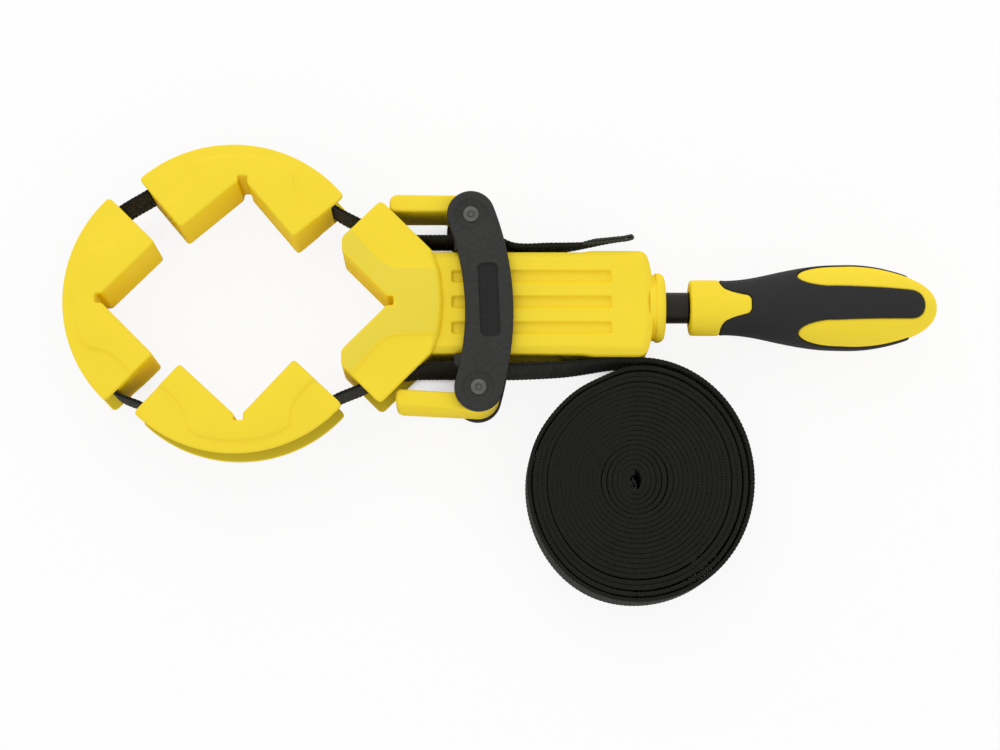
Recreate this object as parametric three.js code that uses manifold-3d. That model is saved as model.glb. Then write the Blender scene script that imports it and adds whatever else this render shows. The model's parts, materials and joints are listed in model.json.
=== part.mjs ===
// Band clamp with a screw drive: a nylon band passes round three loose V jaws and one fixed V jaw,
// and a carriage with two cam levers draws both ends of the band back when the handle is turned.
// Millimetres, +Z up. X runs along the tool, jaws at -X and handle at +X, and the tool lies on Z = 0.
// Right and left are those of a person who holds the handle and looks at the jaws: right is +Y.
import * as THREE from 'three';
import { mergeVertices } from 'three/addons/utils/BufferGeometryUtils.js';
import Module from 'manifold-3d';

const wasm = await Module();
wasm.setup();

// Clearances
const seatGap = 0.3; // between pieces that bear on each other
const runGap = 0.45; // between pieces that move past each other
const cutOverrun = 2; // how far a cutting shape runs past what it cuts

// Band
const bandWidth = 25;
const bandThickness = 1.25;
const channelGap = 0.5; // from the band to the channel floor that guides it
const jointGap = 0.3; // between two lengths of band that meet

// Height of the tool
const bridgeThickness = 3.6;
const bridgeGap = 0.7; // from a bridge to the housing under it
const housingMargin = 0.7; // how far the housing stands above and below the band
const housingHeight = bandWidth + 2 * housingMargin;
const axisHeight = housingHeight / 2 + bridgeGap + bridgeThickness;

// Loose jaw, measured from the apex of its V
const jawFaceLength = 31.5;
const jawEndLength = 26;
const jawBackDepth = 13.6; // from the apex to the middle of the curved back
const jawBandInset = 4.6; // from the curved back to the band
const jawCornerRadius = 3;
const jawTipRadius = 1.5;
const jawArcShare = 0.99; // how much of a jaw's turn the band lies close to it
const jawEdge = 0.7; // chamfer round the top and bottom
const jawFlange = 3.3; // plate above and below the band
const bandClear = 0.9; // from the band to each plate
const jawHeight = bandWidth + 2 * (bandClear + jawFlange);
const padHeight = 0.9; // raised pad round the V
const padEdge = 0.8;
const padInset = 4; // from the curved back to the pad
const padRimShare = 0.86; // how much of the way to the pad's side edges its curved rim runs
const notchWidth = 3.7;
const notchDepth = 0.8;
// Edge of the pad on one arm, from the arm's end to the curved back, as shares of the face length
const padEdgeShares = [[0.5, 1.05], [0.36, 0.89], [0.21, 0.75], [0.05, 0.63], [-0.1, 0.57]];

// Where the loose jaws lie: the apex from the fixed jaw's apex, and the way that the V opens
const rightJawPlace = { x: -59, y: 49.4, open: -94.8 };
const frontJawPlace = { x: -115.3, y: 1, open: 0 };
const leftJawPlace = { x: -59.4, y: -46.5, open: 92.2 };

// Fixed jaw, measured from the apex of its V
const fixedFaceLength = 27.7;
const fixedNoseFlat = 3.8;
const fixedEndLength = 22.9;
const fixedCornerRadius = 2.5;
const fixedPadReach = 20.3; // from the apex back to the end of the pad
const fixedPadHalf = 13.4;
const fixedPadBulge = 2.4;
const fixedPadRound = 4;
const fixedPadEdge = 1.8;
// Edge of the pad on one arm, as shares of the face length
const fixedPadShares = [[-0.55, 1.08], [-0.32, 0.83], [-0.13, 0.62], [0.05, 0.53]];
// Where the band runs through one arm, as shares of the face length
const armBandShares = [[-0.445, 1.195], [-0.11, 1.035]];
const armBandEnd = 9.3; // from the apex to the end of the length of band that the jaws guide

// Housing
const housingHalf = 20.4;
const headFlare = 0.6;
const headHalf = housingHalf + headFlare;
const headStart = 76;
const headRamp = 3;
const housingEnd = 101.7;
const housingCornerRadius = 4;
const headTaper = 2; // how far the head's rear corners lie in front of its rear face
const headTaperStart = 12;
const housingEdgeWide = 3;
const housingEdgeDeep = 1.8;
const wallThickness = 3.4;
const seamGap = 0.3; // between the two shells
const grooveStart = 23.4;
const grooveEnd = 87;
const grooveWidth = 4.9;
const groovePitch = 10.3;
const grooveDepth = 1.2;
const neckEnd = 108.4;
const neckRadius = 13.9;
const neckRound = 2.6;
const neckSeat = 0.6; // how far the neck reaches into the head
const bulkheadThickness = 13.4;

// Screw and its bearing
const nutWall = 0.7; // of the nut block above and below the nut
const nutFlesh = 2.95; // from the nut's corners in to its thread
const cavityHalfHeight = housingHeight / 2 - wallThickness;
const blockHalfHeight = cavityHalfHeight - runGap;
const nutCorner = blockHalfHeight - nutWall;
const threadCrest = nutCorner - nutFlesh;
const threadDepth = 1;
const threadRoot = threadCrest - threadDepth;
const threadLead = 3.5;
const driveTurns = 8;
const shaftStep = 0.5; // from the thread out to the shaft
const shaftRadius = threadCrest + shaftStep;
const journalStep = 0.7; // from the thread in to the journal
const journalRadius = threadRoot - journalStep;
const journalLength = 9;
const collarStep = 3; // from the shaft out to its collar
const collarRadius = shaftRadius + collarStep;
const collarThickness = 3.2;
const washerThickness = 1;
const washerOverhang = 0.6; // of a washer past the collar
const washerRadius = collarRadius + washerOverhang;
const travel = threadLead * driveTurns;

// Carriage
const pivotX = 32.7; // from the fixed jaw's apex, with the carriage fully forward
const bridgeHalf = 9.5;
const bridgeBulge = 5.6;
const bridgeEdge = 1;
const carriageSkew = 2.4; // degrees that the play lets the bridges turn
const ringRecessRadius = 6;
const ringRecessDepth = 1;
const panelWidth = 7.9;
const panelLength = 29.6;
const panelDepth = 0.5;
const pinRadius = 2.3;
const rivetHeadRadius = 3.1;
const rivetHeadHeight = 0.6;
const rivetDimpleRadius = 1.3;
const dimpleShare = 0.7; // how wide the dimple's floor is
const blockHalfLength = 7;
const armHalfLength = 6;
const armHalfHeight = 6;
const cheekHalfLength = 8;
const cheekThickness = 4.8;
const pegRadius = 2.2;
const pegDepth = 1.6;
const nutLength = 11;
const nutSides = 6;

// Cam lever, measured from its pin
const leverMargin = 0.4; // how far a lever stands above and below the band
const leverHeight = bandWidth + 2 * leverMargin;
const camReach = 7; // from the pin to the band, which the cam meets square
const leverReach = 32.6;
const leverInner = 2;
const leverOuter = 9.1;
const leverTipRadius = 1.8;
const leverEdge = 0.8;
const hubRadius = 8.7;
const camRiseShare = 0.19; // how much the cam grows over its span
const hubCollarRadius = 5.4;
// Directions of the points on the hub and on the cam, in degrees; the cam meets the band at -90
const hubTurns = [92, 70, 48, 26, 4, -18, -38];
const camTurns = [-58, -74, -90, -106, -122, -138];
const camSpan = 38; // degrees
const leverLean = 3.6; // degrees that the left lever leans in as it lies in the photographed state

// Handle
const handleStart = 117.6;
const handleLength = 99.9;
const handleRadius = 17.2;
const gripThickness = 1.7;
const collarLength = 12.8;
const gripEnd = 93.8;
const sideStripEnd = 89;
const topStripHalf = 6.7;
const topStripEndHalf = 5.6;
const sideStripHalf = 4;
const petalNose = 40.5;
const petalNoseLength = 17;
const petalSink = 0.6; // how far the petals and the cap lie under the grip
const petalTurn = 50; // degrees from the top to the middle of a petal
const petalSpread = 27; // degrees to each side
const petalOverlapShare = 0.15;
const tangRadius = 4.6;
const tangLength = 52;
const crossPinRadius = 1.9;
const crossPinPlace = 7; // from the front of the handle
// Outline of the handle, as shares of its length and of its largest radius
const handleShares = [
  [0.0, 0.57], [0.012, 0.64], [0.122, 0.645], [0.15, 0.635], [0.2, 0.65], [0.253, 0.69], [0.31, 0.755],
  [0.37, 0.832], [0.45, 0.92], [0.53, 0.98], [0.61, 1.0], [0.69, 0.995], [0.77, 0.935], [0.85, 0.82],
  [0.91, 0.69], [0.955, 0.54], [0.985, 0.37], [1.0, 0.2],
];
// Tongue of the collar, as shares of the collar's length and of the largest radius
const tongueShares = [
  [0.94, 0.8], [1.02, 0.57], [1.12, 0.485], [1.38, 0.41], [1.66, 0.345], [1.86, 0.28], [1.94, 0.15],
];

// Housing screws
const screwShankRadius = 1.5;
const screwHeadRadius = 2.8;
const screwHeadHeight = 1.8;
const screwDepth = 7; // how far a screw reaches into the upper shell
const screwGrip = 9; // from the seam down to the seat of a screw head
// Places of the right-hand screws, as shares of the housing's length and half width
const screwShares = [[-0.06, 1.02], [0.115, 0.5], [0.945, 0.8]];

// Free end and store of the band
const tailStraight = 28; // beside the housing
const tailDrop = 3; // how far the free end comes in behind the carriage
const tailEndReach = 70; // from the pins to the folded end
const tailEndLift = 1.9;
const foldLength = 17;
const tailBendShare = 0.5;
const tailLean = 5; // how far the lower edge leans out at the folded end
const bandFall = 5; // from the band's height in the tool to its height on the table
const rollTurns = 22;
const rollPitch = 1.8;
const rollInner = 3.4;
const rollX = 95.4;
const rollBelow = 70.2; // from the tool's axis to the middle of the roll
const rollOvalShare = 1.055; // how much longer the roll is across the tool than along it
const rollDrift = 1.9; // how far the turns wander off centre from the inside to the outside
const rollLoose = 1.2; // extra gap inside the outermost turns
const rollLooseTurns = 1.9; // how many turns lie outside that gap
const rollSlack = 0.5; // a second extra gap, farther in
const rollSlackTurns = 4.2;
const rollEaseTurns = 0.65; // turns over which an extra gap opens

// How finely curves are cut
const arcSteps = 10;
const cornerSteps = 3;
const edgeSteps = 8;
const loopSteps = 72;
const neckSteps = 4;
const tailSteps = 22;
const leadSteps = 20;
const smallSteps = 8;
const handleSteps = 17;
const latheSteps = 22;
const rollStepsPerTurn = 24;
const gapSearchSteps = 3;

const rad = THREE.MathUtils.degToRad;
const centreX = (handleStart + handleLength + frontJawPlace.x - jawBackDepth) / 2;
const part = new THREE.Group();
part.position.x = -centreX;

const finishes = {
  yellowPlastic: { color: 0xf3d82f, roughness: 0.45, metalness: 0 },
  blackPlate: { color: 0x2e2e2d, roughness: 0.5, metalness: 0 },
  softGrip: { color: 0x2c2c2c, roughness: 0.75, metalness: 0 },
  bandWeave: { color: 0x1b1b19, roughness: 0.9, metalness: 0 },
  blackSteel: { color: 0x24221f, roughness: 0.4, metalness: 0.8 },
  brightSteel: { color: 0x8d8d8a, roughness: 0.35, metalness: 0.9 },
  brass: { color: 0xb08d4a, roughness: 0.4, metalness: 0.9 },
};

// Closed mesh to solid and back
function toSolid(geometry) {
  const bare = geometry.clone();
  bare.deleteAttribute('normal');
  bare.deleteAttribute('uv');
  const welded = mergeVertices(bare);
  return new wasm.Manifold(new wasm.Mesh({
    numProp: 3,
    vertProperties: welded.attributes.position.array,
    triVerts: new Uint32Array(welded.index.array),
  }));
}

function toGeometry(solid) {
  const mesh = solid.getMesh();
  const geometry = new THREE.BufferGeometry();
  geometry.setAttribute('position', new THREE.BufferAttribute(Float32Array.from(mesh.vertProperties), 3));
  geometry.setIndex(Array.from(mesh.triVerts));
  return geometry;
}

function place(name, shape, finish, parent = part) {
  const geometry = shape.isBufferGeometry ? shape : toGeometry(shape);
  const mesh = new THREE.Mesh(geometry, new THREE.MeshStandardMaterial(finishes[finish]));
  mesh.name = name;
  parent.add(mesh);
  return mesh;
}

const joined = (...solids) => solids.reduce((sum, solid) => sum.add(solid));
const cutFrom = (solid, ...tools) => tools.reduce((rest, tool) => rest.subtract(tool), solid);

// A corner rounded between two neighbours, as points
function roundedCorner(before, corner, after, radius) {
  const toBefore = before.clone().sub(corner);
  const toAfter = after.clone().sub(corner);
  const start = corner.clone().add(toBefore.clone().setLength(Math.min(radius, toBefore.length() / 2)));
  const end = corner.clone().add(toAfter.clone().setLength(Math.min(radius, toAfter.length() / 2)));
  return new THREE.QuadraticBezierCurve(start, corner, end).getPoints(cornerSteps);
}

// A closed outline whose corners are [x, y] or [x, y, radius]
function outline(corners) {
  const spots = corners.map(([x, y]) => new THREE.Vector2(x, y));
  return new THREE.Shape(spots.flatMap((spot, i) => {
    const radius = corners[i][2] ?? 0;
    const after = spots[(i + 1) % spots.length];
    return radius > 0 ? roundedCorner(spots.at(i - 1), spot, after, radius) : [spot];
  }));
}

// Points of a circle between two turns
function arcPoints(centre, radius, from, to, steps = arcSteps) {
  return Array.from({ length: steps + 1 }, (_, i) => {
    const turn = from + ((to - from) * i) / steps;
    return [centre + radius * Math.cos(turn), radius * Math.sin(turn)];
  });
}

const mirrored = (points) => points.map(([x, y, ...rest]) => [x, -y, ...rest]).reverse();

// An outline raised between two heights, with a chamfer round both faces
function prismGeometry(shape, low, high, edge = 0, edgeDeep = edge) {
  const geometry = new THREE.ExtrudeGeometry(shape, {
    depth: high - low - 2 * edgeDeep,
    bevelEnabled: edge > 0,
    bevelThickness: edgeDeep,
    bevelSize: edge,
    bevelOffset: -edge,
    bevelSegments: 1,
  });
  geometry.translate(0, 0, low + edgeDeep);
  return geometry;
}

const prism = (...sizes) => toSolid(prismGeometry(...sizes));

function box(fromX, toX, fromY, toY, fromZ, toZ) {
  const geometry = new THREE.BoxGeometry(toX - fromX, toY - fromY, toZ - fromZ);
  geometry.translate((fromX + toX) / 2, (fromY + toY) / 2, (fromZ + toZ) / 2);
  return toSolid(geometry);
}

// A profile of [distance along the axis, radius] turned about the axis
function lathed(profile, steps) {
  return new THREE.LatheGeometry(profile.map(([along, radius]) => new THREE.Vector2(radius, along)), steps);
}

const turnedUpright = (profile, steps = latheSteps) => lathed(profile, steps).rotateX(Math.PI / 2);

// The same, about the tool's axis
function turned(profile, steps = latheSteps) {
  return toSolid(lathed(profile, steps).rotateZ(-Math.PI / 2).translate(0, 0, axisHeight));
}

// A shape drawn about the origin, turned about the tool's axis
const about = (geometry, turn) => toSolid(geometry.rotateX(turn).translate(0, 0, axisHeight));

const rod = (fromX, toX, radius, steps) => (
  turned([[fromX, 0], [fromX, radius], [toX, radius], [toX, 0]], steps)
);

function post(x, y, fromZ, toZ, radius, steps) {
  const geometry = turnedUpright([[fromZ, 0], [fromZ, radius], [toZ, radius], [toZ, 0]], steps);
  geometry.translate(x, y, 0);
  return toSolid(geometry);
}

// A smooth path through points, cut into steps
function smoothPoints(points, steps) {
  const spots = points.map(({ x, y }) => new THREE.Vector3(x, y, 0));
  const curve = new THREE.CatmullRomCurve3(spots, false, 'centripetal');
  return curve.getPoints(steps).map(({ x, y }) => new THREE.Vector2(x, y));
}

// Points of a path moved sideways, to the left of the way it runs
function offsetPath(points, distance) {
  return points.map((point, i) => {
    const before = points[Math.max(i - 1, 0)];
    const after = points[Math.min(i + 1, points.length - 1)];
    const way = after.clone().sub(before).normalize();
    return new THREE.Vector2(point.x - way.y * distance, point.y + way.x * distance);
  });
}

const pathLength = (path) => path.slice(1).reduce((sum, point, i) => sum + point.distanceTo(path[i]), 0);

// A length of band that stands on edge along a path
function bandAlong(points, low, thickness = bandThickness) {
  const outer = offsetPath(points, thickness / 2);
  const inner = offsetPath(points, -thickness / 2).reverse();
  const geometry = new THREE.ExtrudeGeometry(new THREE.Shape([...inner, ...outer].reverse()), {
    depth: bandWidth,
    bevelEnabled: false,
  });
  geometry.translate(0, 0, low);
  return geometry;
}

// Sizes of the loose jaw that follow from its driving sizes
const jawInner = jawFaceLength * Math.SQRT1_2;
const jawOuterX = jawInner - jawEndLength * Math.SQRT1_2;
const jawOuterY = jawInner + jawEndLength * Math.SQRT1_2;
const jawRise = jawOuterX + jawBackDepth;
const jawBackRadius = (jawOuterY ** 2 + jawRise ** 2) / (2 * jawRise);
const jawCentre = jawBackRadius - jawBackDepth; // from the apex to the centre of the curved back
const jawBandRadius = jawBackRadius - jawBandInset - bandThickness / 2;
const jawHalfTurn = Math.atan2(jawOuterY, jawCentre - jawOuterX);

function jawOutline() {
  const turn = Math.PI - jawHalfTurn + jawCornerRadius / jawBackRadius;
  const half = [
    [jawInner, jawInner, jawTipRadius],
    [jawOuterX, jawOuterY, jawCornerRadius],
  ];
  const back = arcPoints(jawCentre, jawBackRadius, turn, 2 * Math.PI - turn);
  return outline([...half, ...back, ...mirrored(half), [0, 0]]);
}

// The edge of the pad on one arm, from the arm's end inward
function padEdgePoints(shares, size) {
  const curve = new THREE.SplineCurve(shares.map(([along, across]) => (
    new THREE.Vector2(along, across).multiplyScalar(size)
  )));
  return curve.getPoints(edgeSteps).map(({ x, y }) => [x, y]);
}

function jawPadOutline() {
  const edge = padEdgePoints(padEdgeShares, jawFaceLength);
  const rimRadius = jawBackRadius - padInset;
  const turn = Math.PI - Math.asin(edge.at(-1)[1] / rimRadius) * padRimShare;
  const rim = arcPoints(jawCentre, rimRadius, turn, 2 * Math.PI - turn);
  const half = [[jawFaceLength, edge[0][1]], ...edge];
  return outline([...half, ...rim, ...mirrored(half)]);
}

// Half the height of the channel that the band runs in
const jawChannelHalf = bandWidth / 2 + bandClear;

function looseJaw(name, where) {
  const half = jawHeight / 2;
  const body = prism(jawOutline(), -half + padHeight, half - padHeight, jawEdge);
  const whole = prism(jawOutline(), -half, half, jawEdge);
  const pad = prism(jawPadOutline(), -half, half, padEdge).intersect(whole);
  const floor = jawBandRadius - bandThickness / 2 - channelGap;
  const quarter = Math.PI / 2;
  const channel = outline([
    ...arcPoints(jawCentre, floor, quarter, 3 * quarter, 2 * arcSteps),
    ...arcPoints(jawCentre, jawBackRadius + cutOverrun, 3 * quarter, quarter),
  ]);
  const beyond = half + cutOverrun;
  const notch = box(-notchDepth, notchWidth, -notchWidth / 2, notchWidth / 2, -beyond, beyond);
  const solid = cutFrom(joined(body, pad), prism(channel, -jawChannelHalf, jawChannelHalf), notch);
  const mesh = place(name, solid, 'yellowPlastic');
  mesh.position.set(where.x, where.y, axisHeight);
  mesh.rotation.z = rad(where.open);
}

looseJaw('right_jaw', rightJawPlace);
looseJaw('front_jaw', frontJawPlace);
looseJaw('left_jaw', leftJawPlace);

// Fixed jaw and housing
const fixedInner = fixedFaceLength * Math.SQRT1_2;
const fixedOuterX = -fixedInner + fixedEndLength * Math.SQRT1_2;
const fixedOuterY = fixedInner + fixedNoseFlat + fixedEndLength * Math.SQRT1_2;
const armEnd = fixedOuterX + fixedOuterY - housingHalf;
const housingLow = axisHeight - housingHeight / 2;
const housingHigh = axisHeight + housingHeight / 2;
const jawLow = axisHeight - jawHeight / 2;
const jawHigh = axisHeight + jawHeight / 2;
const cheekOuter = housingHalf + runGap + cheekThickness;
const bandSide = cheekOuter + seatGap + bandThickness / 2; // from the axis to the band beside the housing

function fixedJawOutline() {
  const arm = [
    [armEnd, housingHalf],
    [fixedOuterX, fixedOuterY, fixedCornerRadius],
    [-fixedInner, fixedInner + fixedNoseFlat, jawTipRadius],
    [-fixedInner, fixedInner, jawTipRadius],
  ];
  const back = [fixedPadReach, housingHalf - housingEdgeWide];
  return outline([back, ...arm, [0, 0], ...mirrored([back, ...arm])]);
}

function fixedPadOutline() {
  const edge = padEdgePoints(fixedPadShares, fixedFaceLength);
  const back = [
    [fixedPadReach - fixedPadBulge, fixedPadHalf, fixedPadRound],
    [fixedPadReach, fixedPadHalf / 2, fixedPadRound],
  ];
  const half = [...back.reverse(), ...edge.reverse(), [-fixedFaceLength, fixedFaceLength]];
  return outline([...half, ...mirrored(half)]);
}

// The way of the band through the right arm, as far as the cheek
function armPath() {
  return [
    ...armBandShares.map(([along, across]) => (
      new THREE.Vector2(along, across).multiplyScalar(fixedFaceLength)
    )),
    new THREE.Vector2(armBandEnd, bandSide),
  ];
}

function jawArc(where) {
  const open = rad(where.open);
  const polar = (radius, turn) => new THREE.Vector2(Math.cos(turn), Math.sin(turn)).multiplyScalar(radius);
  const middle = new THREE.Vector2(where.x, where.y).add(polar(jawCentre, open));
  const span = jawHalfTurn * jawArcShare;
  return Array.from({ length: arcSteps + 1 }, (_, i) => (
    polar(jawBandRadius, open + Math.PI + span - (2 * span * i) / arcSteps).add(middle)
  ));
}

const mirrorPoint = (point) => new THREE.Vector2(point.x, -point.y);

// Middle line of the band round all the jaws, from the left side of the housing to the right
function loopPath() {
  const arms = armPath();
  const through = [
    ...arms.map(mirrorPoint).reverse(),
    ...jawArc(leftJawPlace),
    ...jawArc(frontJawPlace),
    ...jawArc(rightJawPlace),
    ...arms,
  ];
  return smoothPoints(through, loopSteps);
}

const loop = loopPath();
place('band_loop', bandAlong(loop, axisHeight - bandWidth / 2), 'bandWeave');

// Opens the arms outward for the band, right and left
function armChannels() {
  const run = loop.filter((point) => point.y > 0 && point.x > -fixedInner);
  const floor = offsetPath(run, -(bandThickness / 2 + channelGap));
  const beyond = fixedOuterY + cutOverrun;
  const points = [
    [floor[0].x, beyond],
    ...floor.map(({ x, y }) => [x, y]),
    [armEnd + cutOverrun, floor.at(-1).y],
    [armEnd + cutOverrun, beyond],
  ];
  const low = axisHeight - jawChannelHalf;
  const high = axisHeight + jawChannelHalf;
  return joined(prism(outline(points), low, high), prism(outline(mirrored(points)), low, high));
}

// Stations of the screw along the tool
const cavityFront = pivotX - blockHalfLength - runGap;
const cavityRear = housingEnd - bulkheadThickness;
const cavityHalf = housingHalf - wallThickness;
const pocketStart = cavityRear + wallThickness;
const collarStart = pocketStart + 2 * seatGap + washerThickness;
const collarEnd = collarStart + collarThickness;
const pocketEnd = collarEnd + 2 * seatGap + washerThickness;
const threadEnd = pivotX + travel + blockHalfLength + runGap;

function neck() {
  const round = Array.from({ length: neckSteps + 1 }, (_, i) => {
    const turn = (Math.PI / 2) * (i / neckSteps);
    return [
      neckEnd - neckRound + Math.sin(turn) * neckRound,
      neckRadius - neckRound + Math.cos(turn) * neckRound,
    ];
  });
  const from = housingEnd - neckSeat;
  return turned([[from, 0], [from, neckRadius], ...round, [neckEnd, 0]]);
}

const screwPlaces = screwShares.flatMap(([along, across]) => (
  [1, -1].map((side) => [along * housingEnd, side * across * housingHalf])
));
const screwSeat = axisHeight - screwGrip;

function housing() {
  const over = cutOverrun;
  const jawPlate = prism(fixedJawOutline(), jawLow + padHeight, jawHigh - padHeight, jawEdge);
  const pad = prism(fixedPadOutline(), jawLow, jawHigh, fixedPadEdge, padEdge)
    .intersect(prism(fixedJawOutline(), jawLow, jawHigh, jawEdge));
  const side = [
    [housingEnd, headTaperStart],
    [housingEnd - headTaper, headHalf, housingCornerRadius],
    [headStart + headRamp, headHalf],
    [headStart, housingHalf],
    [armEnd - housingCornerRadius, housingHalf],
  ];
  const trunkOutline = outline([...side, ...mirrored(side)]);
  const trunk = prism(trunkOutline, housingLow, housingHigh, housingEdgeWide, housingEdgeDeep);
  const grooves = [-1, 0, 1].flatMap((row) => [
    [housingHigh - grooveDepth, housingHigh + over],
    [housingLow - over, housingLow + grooveDepth],
  ].map(([low, high]) => {
    const middle = row * groovePitch;
    return box(grooveStart, grooveEnd, middle - grooveWidth / 2, middle + grooveWidth / 2, low, high);
  }));
  const notch = box(
    -notchWidth, notchDepth, -notchWidth / 2, notchWidth / 2,
    jawLow - over, jawHigh + over,
  );
  const cavity = box(
    cavityFront, cavityRear, -cavityHalf, cavityHalf,
    axisHeight - cavityHalfHeight, axisHeight + cavityHalfHeight,
  );
  const slots = box(
    pivotX - armHalfLength - runGap, pivotX + travel + armHalfLength + runGap,
    -headHalf - over, headHalf + over,
    axisHeight - armHalfHeight - runGap, axisHeight + armHalfHeight + runGap,
  );
  const bore = rod(cavityFront, neckEnd + over, shaftRadius + runGap, 2 * smallSteps);
  const pocket = rod(pocketStart, pocketEnd, washerRadius + seatGap, 2 * smallSteps);
  const journal = rod(
    cavityFront - journalLength - runGap, cavityFront + over, journalRadius + seatGap, 2 * smallSteps,
  );
  const screwHoles = screwPlaces.flatMap(([x, y]) => [
    post(x, y, screwSeat - over, axisHeight + screwDepth + seatGap, screwShankRadius + seatGap, smallSteps),
    post(x, y, -over, screwSeat, screwHeadRadius + seatGap, smallSteps),
  ]);
  return cutFrom(
    joined(jawPlate, pad, trunk, neck()),
    armChannels(), notch, cavity, slots, bore, pocket, journal, ...grooves, ...screwHoles,
  );
}

const wholeHousing = housing();
const far = handleStart + handleLength;
const aboveSeam = box(-far, far, -far, far, axisHeight + seamGap / 2, far);
const belowSeam = box(-far, far, -far, far, -far, axisHeight - seamGap / 2);
place('upper_housing', wholeHousing.intersect(aboveSeam), 'yellowPlastic');
place('lower_housing', wholeHousing.intersect(belowSeam), 'yellowPlastic');

screwPlaces.forEach(([x, y], i) => {
  const headTop = screwSeat - seatGap;
  const tip = axisHeight + screwDepth;
  const profile = [
    [headTop - screwHeadHeight, 0], [headTop - screwHeadHeight, screwHeadRadius],
    [headTop, screwHeadRadius], [headTop, screwShankRadius], [tip, screwShankRadius], [tip, 0],
  ];
  const mesh = place(`housing_screw_${i + 1}`, turnedUpright(profile, smallSteps), 'brightSteel');
  mesh.position.set(x, y, 0);
});

// Screw, its washers and the handle
function driveScrew() {
  const threadStart = cavityFront + runGap;
  const ridges = Math.floor((threadEnd - threadStart) / threadLead);
  const thread = Array.from({ length: ridges }, (_, i) => {
    const from = threadStart + i * threadLead;
    return [[from, threadRoot], [from + threadLead / 2, threadCrest]];
  }).flat();
  const front = cavityFront - journalLength;
  const end = handleStart + tangLength;
  const profile = [
    [front, 0], [front, journalRadius], [threadStart, journalRadius], ...thread,
    [threadStart + ridges * threadLead, threadRoot], [threadEnd, threadRoot], [threadEnd, shaftRadius],
    [collarStart, shaftRadius], [collarStart, collarRadius],
    [collarEnd, collarRadius], [collarEnd, shaftRadius],
    [handleStart - seatGap, shaftRadius], [handleStart - seatGap, tangRadius],
    [end, tangRadius], [end, 0],
  ];
  return cutFrom(turned(profile, smallSteps * 2), crossPinHole(crossPinRadius + seatGap));
}

const crossPinX = handleStart + crossPinPlace;
const crossPinHalf = handleRadius / 2;

function crossPinHole(radius) {
  const top = axisHeight + crossPinHalf + seatGap;
  return post(crossPinX, 0, axisHeight - handleRadius, top, radius, smallSteps);
}

place('drive_screw', driveScrew(), 'blackSteel');
place('cross_pin', post(
  crossPinX, 0, axisHeight - crossPinHalf, axisHeight + crossPinHalf, crossPinRadius, smallSteps,
), 'brightSteel');

function thrustWasher(name, from) {
  const ring = rod(from, from + washerThickness, washerRadius, 2 * smallSteps);
  const beyond = from + washerThickness + cutOverrun;
  const hole = rod(from - cutOverrun, beyond, shaftRadius + seatGap, 2 * smallSteps);
  place(name, cutFrom(ring, hole), 'brightSteel');
}
thrustWasher('front_thrust_washer', pocketStart + seatGap);
thrustWasher('rear_thrust_washer', collarEnd + seatGap);

// Handle: a hard core that shows as collar, petals and cap, and a soft grip moulded round it
function handleProfile(inset) {
  const curve = new THREE.SplineCurve(handleShares.map(([along, across]) => (
    new THREE.Vector2(along * handleLength, across * handleRadius)
  )));
  const points = curve.getPoints(handleSteps).map(({ x, y }) => [handleStart + x, Math.max(y - inset, 0)]);
  return [[handleStart, 0], ...points, [handleStart + handleLength, 0]];
}

function handlePieces() {
  const whole = turned(handleProfile(0));
  const sunk = turned(handleProfile(petalSink));
  const under = turned(handleProfile(gripThickness));
  const core = turned(handleProfile(gripThickness + seatGap));
  const from = handleStart;
  const reach = 2 * handleRadius;
  const gripFront = from + collarLength;
  const petalMiddle = from + petalNose + petalNoseLength;

  const tongue = (grow) => {
    const side = tongueShares.map(([along, across]) => [
      from + along * collarLength + grow, across * handleRadius + grow,
    ]);
    const shape = outline([...side, ...mirrored(side)]);
    return prism(shape, axisHeight - reach, axisHeight + reach);
  };
  const strip = (half, endHalf, end, grow) => {
    const corners = [
      [petalMiddle - petalNoseLength, half + grow], [petalMiddle, half + grow],
      [from + end + grow, endHalf + grow, endHalf],
    ];
    return prismGeometry(outline([...corners, ...mirrored(corners)]), -reach, reach);
  };
  const strips = (grow) => joined(
    about(strip(topStripHalf, topStripEndHalf, gripEnd, grow), 0),
    about(strip(sideStripHalf, sideStripHalf / 2, sideStripEnd, grow), Math.PI / 2),
  );
  const petals = (grow) => {
    const half = handleRadius * Math.sin(rad(petalSpread));
    const nose = [];
    for (let i = 0; i <= arcSteps; i += 1) {
      const turn = (Math.PI / 2) * (i / arcSteps);
      nose.push([
        petalMiddle - Math.cos(turn) * (petalNoseLength + grow) + petalNoseLength * petalOverlapShare,
        Math.sin(turn) * (half + grow),
      ]);
    }
    const shape = outline([...nose, ...mirrored(nose.slice(1))]);
    const turns = [petalTurn, -petalTurn, 180 - petalTurn, petalTurn - 180];
    return joined(...turns.map((turn) => about(prismGeometry(shape, 0, reach), rad(turn))));
  };
  const slab = (fromX, toX) => box(fromX, toX, -reach, reach, axisHeight - reach, axisHeight + reach);
  const gripBand = slab(gripFront, petalMiddle);
  const petalSlab = slab(gripFront, petalMiddle + 2 * seatGap);
  const tail = slab(petalMiddle, from + gripEnd + seatGap);
  const layer = cutFrom(whole, under);
  const grip = joined(
    cutFrom(layer.intersect(gripBand), tongue(seatGap), petals(seatGap)),
    layer.intersect(tail).intersect(strips(0)),
  );
  const collar = slab(from - cutOverrun, gripFront - seatGap);
  const rear = cutFrom(slab(petalMiddle + seatGap, from + handleLength + cutOverrun), strips(seatGap));
  const bore = rod(from - cutOverrun, from + tangLength + seatGap, tangRadius + seatGap, smallSteps * 2);
  const front = whole.intersect(joined(collar, tongue(0)));
  const back = sunk.intersect(joined(rear, cutFrom(petals(0).intersect(petalSlab), strips(seatGap))));
  const hard = cutFrom(joined(core, front, back), bore, crossPinHole(crossPinRadius + seatGap));
  return { hard, grip };
}

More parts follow.
